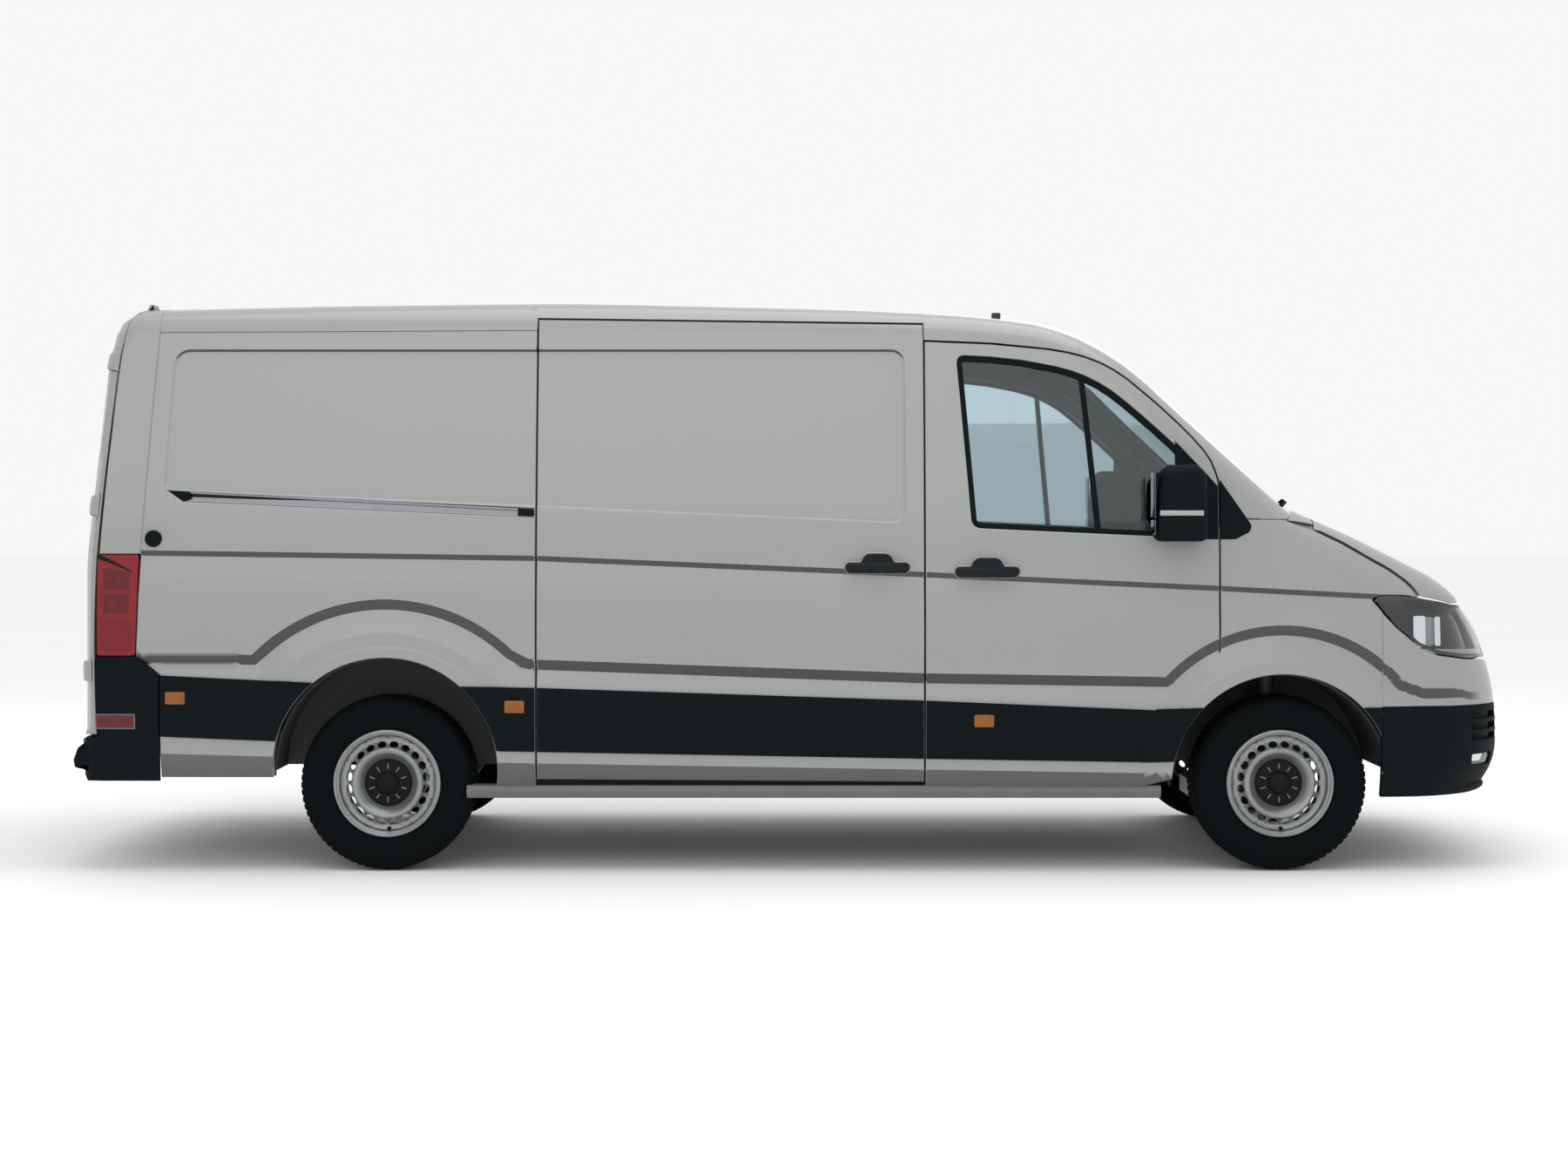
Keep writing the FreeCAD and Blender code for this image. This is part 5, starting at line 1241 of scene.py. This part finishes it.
for tag, centre, side, body in (("slider", (348, 1238), RIGHT, "root"),
                                ("right", (793, 1221), RIGHT, "front_door_right"),
                                ("left", (793, 1221), LEFT, "front_door_left")):
    outline = HANDLE + centre
    panel("handle_" + tag, outline, plain_side(side, 12, swelling(centre)), GLOSS, body,
          spacing=14, thickness=22, chamfer=5, flip=side == LEFT)
    panel("handle_rim_" + tag, inset(outline, -2.4), plain_side(side, 2.5), SILVER, body,
          spacing=40, thickness=11, chamfer=2, flip=side == LEFT, slot="aluminium")

# Sliding rail: a channel of two lips and a back, its carriage cover and end piece

slot_foot = SLOT[[3, 2]]
panel("rail_back", inset(SLOT, -2.0), plain_side(RIGHT, -26), ALUMINIUM, spacing=80, thickness=3,
      chamfer=0, replaces=("slide_rail",))
for name, line, down in (("rail_lip_upper", SLOT[:2], -9), ("rail_lip_lower", slot_foot, 10)):
    panel(name, np.concatenate([line, (line + [0, down])[::-1]]), plain_side(RIGHT, -6), ALUMINIUM,
          spacing=80, thickness=19, chamfer=2)
panel("rail_end", points([SLOT[0], SLOT[3], (-2440, 1511), (-2440, 1547)]), plain_side(RIGHT, -3),
      PLASTIC, thickness=20, chamfer=3)
panel("rail_carriage", points([(-1110, 1447), (-1046, 1444), (-1046, 1474), (-1110, 1477)]),
      plain_side(RIGHT, -2), PLASTIC, thickness=20, chamfer=3)

# Wheels: tyre with a cut tread, pierced dish, rim rings, cap and valve

WHEEL_SIDE = 850.0
TREAD_STEPS = 288
# Radii of the tyre: where its tread starts, the floors of its grooves and its ribbed flanks
TREAD_FOOT = 343
FLOOR_LOW, FLOOR_HIGH = 345, 347.5
FLANK_LOW, FLANK_HIGH = 286, 318
CUT_DEPTH = 5.0
RIM_HOLES = 20
HUB_FACE = 74
# Profiles as (radius, distance out from the middle of the wheel)
HALF_TYRE = points([(356, 14), (347, 15), (347, 23), (355.5, 24), (354.5, 53), (346, 54), (346, 61),
                    (353.5, 62), (353.5, 66), (352, 88), (349, 96), (344, 102), (334, 110),
                    (316, 116), (290, 117), (262, 113), (240, 106), (224, 97), (218, 86)])
TYRE = np.concatenate([(HALF_TYRE * [1, -1])[::-1], HALF_TYRE])
RIM = points([(219, 84), (221, 96), (217, 105), (211, 107), (207, 104), (206, 97), (200, 94),
              (196, 90), (192, 76), (190, 64), (190, 40), (184, 30), (182, -40), (190, -60),
              (205, -74), (214, -90), (219, -90)])
DISH = points([(92, 58), (100, 66), (112, 80), (124, 92), (134, 97), (140, 96), (146, 90),
               (156, 76), (172, 66), (184, 66), (192, 72)])
HUB = points([(96, 52), (97, 62), (93, 68), (80, 72), (48, 76), (44, 80), (41, 88), (34, 94),
              (18, 97), (1, 98)])
VALVE = points([(1, 0), (7, 0), (7, 12), (5, 14), (5, 30), (1, 31)])


def circle(radius, steps=96):
    turn = full_turn(steps)
    return radius * np.stack([np.cos(turn), np.sin(turn)], 1)


def turned(place, angle):
    """Places turned about the origin."""
    cosine, sine = math.cos(angle), math.sin(angle)
    u, v = place[..., 0], place[..., 1]
    return np.stack([u * cosine - v * sine, u * sine + v * cosine], -1)


def wheel(tag, centre, outward, body):
    """A wheel round its centre; outward is -1 on the right of the van."""
    angles = full_turn(TREAD_STEPS)
    column = np.arange(TREAD_STEPS)
    rows = []
    for number, (radius, along) in enumerate(TYRE):
        ring = np.full(TREAD_STEPS, radius)
        if radius >= TREAD_FOOT and not FLOOR_LOW < radius < FLOOR_HIGH:
            shift = 0 if abs(along) < 20 else (2 if abs(along) < 56 else 1)
            ring -= np.where((column + shift) % 4 == 0, CUT_DEPTH, 0.0)
        if FLANK_LOW < radius < FLANK_HIGH:
            ring += number % 2
        rows.append(np.stack([centre[0] + ring * np.cos(angles),
                              np.full(TREAD_STEPS, centre[1] - outward * along),
                              centre[2] + ring * np.sin(angles)], 1))
    faces = grid_faces(len(TYRE), TREAD_STEPS, True)
    if outward < 0:
        faces = [face[::-1] for face in faces]
    finished("tyre_skin_" + tag, np.concatenate(rows), faces, RUBBER, body, 30.0, ("tyre_" + tag,))
    lathe("rim_ring_" + tag, RIM * [1, outward], centre, SILVER, body, angle=40,
          replaces=("rim_" + tag,))
    ellipse = circle(1.0, 18) * [12.5, 18] + [158, 0]
    holes = [turned(ellipse, 2 * math.pi * (number + 0.5) / RIM_HOLES)
             for number in range(RIM_HOLES)] + [circle(96, 48)]

    def place(at):
        height = np.interp(np.linalg.norm(at, axis=1), DISH[:, 0], DISH[:, 1])
        return np.stack([centre[0] + at[:, 0], centre[1] + outward * height,
                         centre[2] + at[:, 1]], 1)

    panel("rim_dish_" + tag, circle(192), place, SILVER, body, holes=holes,
          lines=[looped(circle(radius)) for radius in (112, 124, 134, 140)], spacing=12,
          thickness=5, chamfer=0, flip=outward > 0)
    lathe("hub_cap_" + tag, HUB * [1, outward], centre, CAP, body, steps=64)
    ticks = bmesh.new()
    for number in range(10):
        for vert in bmesh.ops.create_cube(ticks, size=1.0)["verts"]:
            x, y, z = vert.co
            u, v = turned(points([68 + z * 22, x * 5]), math.radians(90 + 36 * number))
            vert.co = (centre + [u, outward * (HUB_FACE + y * 5), v]) * MM
    from_bmesh("cap_ticks_" + tag, ticks, GREY, body, 30)
    lathe("valve_" + tag, (VALVE + [0, HUB_FACE]) * [1, outward], centre + [6, 0, -184], PLASTIC,
          body, steps=16)


for side, tag in SIDES:
    for end, x in (("front", FRONT), ("rear", REAR)):
        wheel("%s_%s" % (end, tag), points([x, side * WHEEL_SIDE, WHEEL_HEIGHT]), side,
              "wheel_%s_%s" % (end, tag))

# Rear: wrap-round lower corner, step, lamp details, reflectors, buffers and plate

CORNER_TOP = 876.0
BUMPER_TOP = 549.0
seam_low = rear_line([(-2561.5, 388), (-2561.5, 803), (-2657.5, CORNER_TOP)])
door_foot = rear_across(-2816, DOOR_FOOT) + 7
wrap = points([(seam_low[0][0], 372)] + seam_low[1:]
              + [(door_foot, CORNER_TOP), (door_foot, BUMPER_TOP)])
panel("rear_corner_skin", np.concatenate([sided(wrap, -1), wrap[::-1]]), off(rear_place, 5.0),
      PLASTIC, spacing=45, thickness=22, chamfer=4, flip=True)

STEP_HALF = 985
STEP_ROUND = 20
STEP = rounded_path([(-2850, 545, 4), (-2900, 548, 20), (-2975, 505, 22), (-2993, 455, 16),
                     (-2988, 424, 12), (-2960, 417, 12), (-2925, 432, 10), (-2850, 400, 4)],
                    closed=True, turn=14)
STEP_MIDDLE = points([-2900, 470])


def step_bow(y):
    """How far the rear step is drawn in at y."""
    return 74 * (y / STEP_HALF) ** 2


step_loops = []
for y in np.concatenate([[-985, -983, -978], np.linspace(-965, 965, 25), [978, 983, 985]]):
    ending = max(0.0, (abs(y) - STEP_HALF + STEP_ROUND) / STEP_ROUND)
    loop = STEP_MIDDLE + (STEP - STEP_MIDDLE) * (1 - 0.06 * ending ** 2)
    forward = np.where(loop[:, 0] < -2860, step_bow(y), 0)
    step_loops.append(np.stack([loop[:, 0] + forward, np.full(len(loop), y), loop[:, 1]], 1))
tube("rear_step", step_loops, PLASTIC, replaces=("rear_bumper",), angle=30)
for number in range(9):
    y = -760 + 190 * number
    block("step_pad_%d" % number, (-2962 + step_bow(y), y - 78, 508),
          (-2915 + step_bow(y), y + 78, 531), GREY, radius=6)

# Small plates on the rear corner: name, places seen from the side, distance out, look
PATCHES = (
    ("lamp_field_upper", [(-2784, 1149), (-2681, 1149), (-2681, 1219), (-2784, 1240)], 3.2, DARK_RED),
    ("lamp_field_lower", [(-2784, 1053), (-2681, 1053), (-2681, 1129), (-2784, 1129)], 3.2, DARK_RED),
    ("lamp_foot", [(-2800, 897), (-2668, 897), (-2668, 1036), (-2800, 1036)], 3.0, DEEP_RED),
    ("lamp_wedge", [(-2806, 1272), (-2668, 1216), (-2668, 1222), (-2806, 1293)], 4.2, GLOSS),
    ("corner_reflector", [(-2808, 589), (-2662, 589), (-2662, 640), (-2808, 640)], 8.5, DARK_RED),
    ("reflector_frame", [(-2811, 584), (-2657, 584), (-2657, 645), (-2811, 645)], 6.5, GREY))
STOP = points([(33, -6), (34, 8), (31, 14), (22, 17), (1, 18)])
STOP_HEIGHT = 1355.0
for side, tag in SIDES:
    for name, corners, out, look in PATCHES:
        panel("%s_%s" % (name, tag), sided(rear_line(corners), side), off(rear_place, out), look,
              spacing=25, thickness=5.0, chamfer=1.2, flip=True)
    lathe("door_stop_" + tag, STOP * [1, side],
          (-2585, side * half_width(points([STOP_HEIGHT]))[0], STOP_HEIGHT), PLASTIC, steps=40)

BUFFER = [(31, 6), (31, -10), (26, -30), (22, -44), (15, -50), (3, -52)]
BUFFER_SIDE, BUFFER_HEIGHT = 690, 1364
for side, tag in SIDES:
    body = "rear_door_" + tag
    y = side * BUFFER_SIDE
    x = rear_place(points([(y, BUFFER_HEIGHT)]))[0, 0]
    rows = [np.concatenate([np.full((32, 1), x + along), circle(radius, 32) + [y, BUFFER_HEIGHT]], 1)
            for radius, along in BUFFER]
    tube("door_buffer_" + tag, rows, PLASTIC, body)
    for number, z in enumerate((820, 1490, 2080)):
        edge = rear_across(-2816 + max(z - 1270, 0) * 0.107, z)
        outline = [(edge - 8, z - 45), (edge - 8, z + 45), (edge - 95, z + 32), (edge - 95, z - 32)]
        panel("rear_hinge_%s_%d" % (tag, number), sided(outline, side), off(rear_place, 9.0), PAINT,
              body, spacing=30, thickness=12, chamfer=4, flip=True)
for name, box, out, look, spacing, depth, chamfer, flip in (
        ("rear_handle_tray", (-150, 1105, -22, 1190, 12), 3.0, GLOSS, 40, 8, 3, False),
        ("rear_handle_bar", (-138, 1128, -34, 1166, 8), 26.0, PLASTIC, 30, 22, 6, False),
        ("blank_plate", (-640, 760, -120, 872, 8), 12.0, PALE, 60, 12, 2, True),
        ("plate_hood", (-560, 884, -200, 912, 8), 26.0, PLASTIC, 60, 28, 5, True)):
    panel(name, rounded_box(*box), off(rear_place, out), look, "rear_door_right", spacing=spacing,
          thickness=depth, chamfer=chamfer, flip=flip)

# Front: fog lamps, dark backing of the openings, lamp elements and lower lip

panel("bumper_backing", points([(-1300, 332), (-1300, 664), (1300, 664), (1300, 332)]),
      off(front_place, -27.0), PLASTIC, spacing=60, thickness=3, chamfer=0)
FOG = rounded_path([(826, 428, 10), (981, 428, 10), (994, 470, 10), (836, 470, 10)], closed=True)
for side, tag in SIDES:
    fog = sided(FOG, side)
    panel("fog_lens_" + tag, fog, off(front_place, -8.0), CLEAR, spacing=20, thickness=3, chamfer=0)
    panel("fog_reflector_" + tag, inset(fog, 4), off(front_place, -24.0), CHROME, spacing=14,
          thickness=2, chamfer=0)

LIP = rounded_path([(0, 306, 4), (26, 322, 10), (30, 340, 8), (0, 352, 4)], closed=True)
lip_loops = []
for w in np.linspace(-1330, 1330, 61):
    foot = front_place(points([(w, 330)]))[0]
    turn = np.clip((abs(w) - NOSE_FLAT) / NOSE_TURN, 0, QUARTER_TURN)
    way = points([math.cos(turn), math.copysign(math.sin(turn), w)])
    out = LIP[:, :1] * (1.0 - 0.85 * smooth((abs(w) - 700) / 500.0)) - 8
    lip_loops.append(np.concatenate([foot[:2] + way * out, LIP[:, 1:]], 1))
tube("front_lip", lip_loops, PLASTIC, angle=30)

LAMP_BACK = -50
elements = [front_across(x, 985) for x in (2528, 2580, 2622, 2648)]
strip = (front_line([(2520, 898), (2560, 888)]) + [(580, 868), (580, 888)]
         + front_line([(2560, 908)]))
for side, tag in SIDES:
    for name, number, low, high, out, look in (("lamp_bar_outer", 0, 912, 1040, -14, CHROME),
                                               ("lamp_module", 1, 918, 1034, -30, LENS_GREY),
                                               ("lamp_bar_inner", 2, 918, 1036, -14, CHROME)):
        ring = sided(rounded_box(elements[number + 1], low, elements[number], high, 8), side)
        tube("%s_%s" % (name, tag), [front_place(ring, LAMP_BACK), front_place(ring, out)], look)
    panel("day_strip_" + tag, sided(strip, side), off(front_place, -10.0), LENS_GREY, spacing=30,
          thickness=6, chamfer=1)
    outline = sided(headlamp, side)
    panel("lamp_frame_" + tag, inset(outline, 2.5), off(front_place, -3.5), GLOSS,
          holes=[inset(outline, 13)], spacing=35, thickness=50, chamfer=0)

# Mirrors: a rounded head on a foot, glass at its back and a lamp strip

MIRROR_LOW, MIRROR_HIGH = 1346.0, 1652.0
HEAD_SHARES = np.concatenate([[0, 0.006, 0.02, 0.045], np.linspace(0.08, 0.9, 14),
                              [0.94, 0.97, 0.99, 1.0]])
head_turn = full_turn(40)
head_across, head_along = (np.sign(wave) * np.abs(wave) ** 0.55
                           for wave in (np.cos(head_turn), np.sin(head_turn)))
for side, tag in SIDES:
    body = "front_door_" + tag
    loops = []
    for share in HEAD_SHARES:
        ends = min(share / 0.07, (1 - share) / 0.17, 1.0)
        scale = 1 - (1 - ends) ** 2.4 * (0.22 if share < 0.5 else 0.42)
        x = 1557 + 8 * share + (108 - 16 * share) * scale * head_across
        y = 1136 + 74 * scale * head_along
        z = MIRROR_LOW + share * (MIRROR_HIGH - MIRROR_LOW)
        loops.append(np.stack([x, side * y, np.full(len(x), z)], 1))
    tube("mirror_head_" + tag, loops, PLASTIC, body, angle=50)
    arm = []
    for y in (1000, 1030, 1060, 1090):
        swell = (y - 1000) / 90.0
        ring = rounded_path([(1560 - 10 * swell, 1354, 12), (1700 - 60 * swell, 1354, 12),
                             (1690 - 60 * swell, 1420, 20), (1570, 1430 + 20 * swell, 20)],
                            closed=True)
        arm.append(np.stack([ring[:, 0], np.full(len(ring), side * y), ring[:, 1]], 1))
    tube("mirror_arm_" + tag, arm, PLASTIC, body)
    for name, inner, outer, look, radius in (
            ("mirror_glass", (1447, 1078, 1440), (1453, 1192, 1622), MIRROR, 3),
            ("mirror_glass_low", (1447, 1078, 1372), (1453, 1192, 1432), MIRROR, 3),
            ("mirror_lamp", (1466, 1195, 1449), (1640, 1212.5, 1470), LENS_GREY, 4)):
        block("%s_%s" % (name, tag), points(inner) * [1, side, 1], points(outer) * [1, side, 1],
              look, body, radius)

# Linings that show through the windows, and the inner sills

PILLAR = points([(1330, 716), (1900, 690), (1870, 800), (1330, 812)])
for side, tag in SIDES:
    panel("door_lining_" + tag, inset(DOOR, 30), plain_side(side, -60), LINING,
          "front_door_" + tag, holes=[inset(WINDOW, -4)], spacing=70, thickness=6, chamfer=0,
          flip=side == LEFT)
    block("inner_sill_" + tag, (-1175, side * 905, 330), (1395, side * 958, 480), STEEL, radius=6)
panel("cab_lining", inset(CAB_FRAME, -26), off(cab_place, -62.0), HEADLINER,
      holes=[inset(SCREEN, 6)], spacing=70, thickness=4, chamfer=0)
for side, tag in SIDES:
    panel("pillar_trim_" + tag, PILLAR * [1, side], off(cab_place, -68.0), GREY, spacing=50,
          thickness=8, chamfer=2, slot="interior_plastic")

# Wipers lying along the foot of the windscreen


def along_glass(name, side, start, end, run, steps, width, low, high, replaces=()):
    """A bar near the foot of the windscreen from start to end, between two heights over it.

    It leaves the foot by a little more for each run of its length.
    """
    loops = []
    for v in np.linspace(start, end, steps):
        x = cowl_x(v) - 52 - 14 * (v - run[0]) / run[1]
        edges = points([(x - width, side * v), (x + width, side * v)])
        loops.append(np.concatenate([cab_place(edges, low), cab_place(edges, high)[::-1]]))
    tube(name, loops, PLASTIC, replaces=replaces)


for side, tag in SIDES:
    along_glass("wiper_blade_" + tag, side, 50, 640, (0, 640), 16, 6, 2, 22, once("wipers", side))
    along_glass("wiper_arm_" + tag, side, 90, 320, (90, 230), 7, 8, 6, 17)

# Trim over the top edge of each cab door's frame, seen through the windows

CANT_TRIM = np.concatenate([CAB_DOOR_TOP - [10, 24], (CAB_DOOR_TOP + [10, 26])[::-1]])
for side, tag in SIDES:
    side_panel("cant_trim_" + tag, CANT_TRIM, side, HEADLINER, extra=-70, spacing=50, thickness=4,
               chamfer=0)

# Arch liners between the outer skin and the wheel housings

for side, tag in SIDES:
    for end, centre, radius, start, stop in (("rear", REAR_AXLE, 457.5, 183.5, -8.4),
                                             ("front", FRONT_AXLE, 449.5, 181.0, 26.0)):
        arch_run = arc(centre, radius, start, stop, 48)
        skin = side_at(side, front_distance, recess=False, extra=-3)(arch_run)
        rows = [np.stack([arch_run[:, 0], skin[:, 1] * (1 - share) + side * 915.0 * share,
                          arch_run[:, 1]], 1) for share in np.linspace(0, 1, 4)]
        sheet("arch_liner_%s_%s" % (end, tag), points(rows), PLASTIC, thickness=5,
              flip=side == LEFT)

# Floor, light and camera

floor_mesh = bpy.data.meshes.new("floor")
floor_mesh.from_pydata([(-60, -60, 0), (60, -60, 0), (60, 60, 0), (-60, 60, 0)], [], [(0, 1, 2, 3)])
floor = bpy.data.objects.new("floor", floor_mesh)
bpy.context.scene.collection.objects.link(floor)
floor_mesh.materials.append(material("pale_floor", "", (0.97, 0.97, 0.97), 0.75, 80, 0.02, 0.01,
                                     0.5, 0.03)[0])

bpy.context.scene.view_settings.view_transform = "Standard"
world = bpy.data.worlds.new("studio")
bpy.context.scene.world = world
world.use_nodes = True
background = world.node_tree.nodes["Background"]
background.inputs["Color"].default_value = (0.97, 0.975, 0.975, 1)
background.inputs["Strength"].default_value = 0.95


def light(name, place, target, size, power):
    data = bpy.data.lights.new(name, "AREA")
    data.shape = "RECTANGLE"
    data.size, data.size_y = size
    data.energy = power
    lamp = bpy.data.objects.new(name, data)
    bpy.context.scene.collection.objects.link(lamp)
    lamp.location = place
    lamp.rotation_euler = (Vector(target) - Vector(place)).to_track_quat("-Z", "Y").to_euler()


light("overhead", (0.5, -1.0, 7.0), (0, 0, 0), (8, 5), 200)
light("side_soft", (-1.0, -9.0, 4.5), (0, 0, 1.0), (9, 4), 90)
light("far_fill", (0, 8.0, 4.0), (0, 0, 1.2), (9, 4), 60)

camera_data = bpy.data.cameras.new("camera")
camera = bpy.data.objects.new("camera", camera_data)
bpy.context.scene.collection.objects.link(camera)
camera.location = (-0.03, -11.46, 1.508)
camera.rotation_euler = (math.radians(90), 0, 0)
camera_data.lens = 59.2
camera_data.sensor_width = 36
camera_data.shift_y = -0.0556
bpy.context.scene.camera = camera
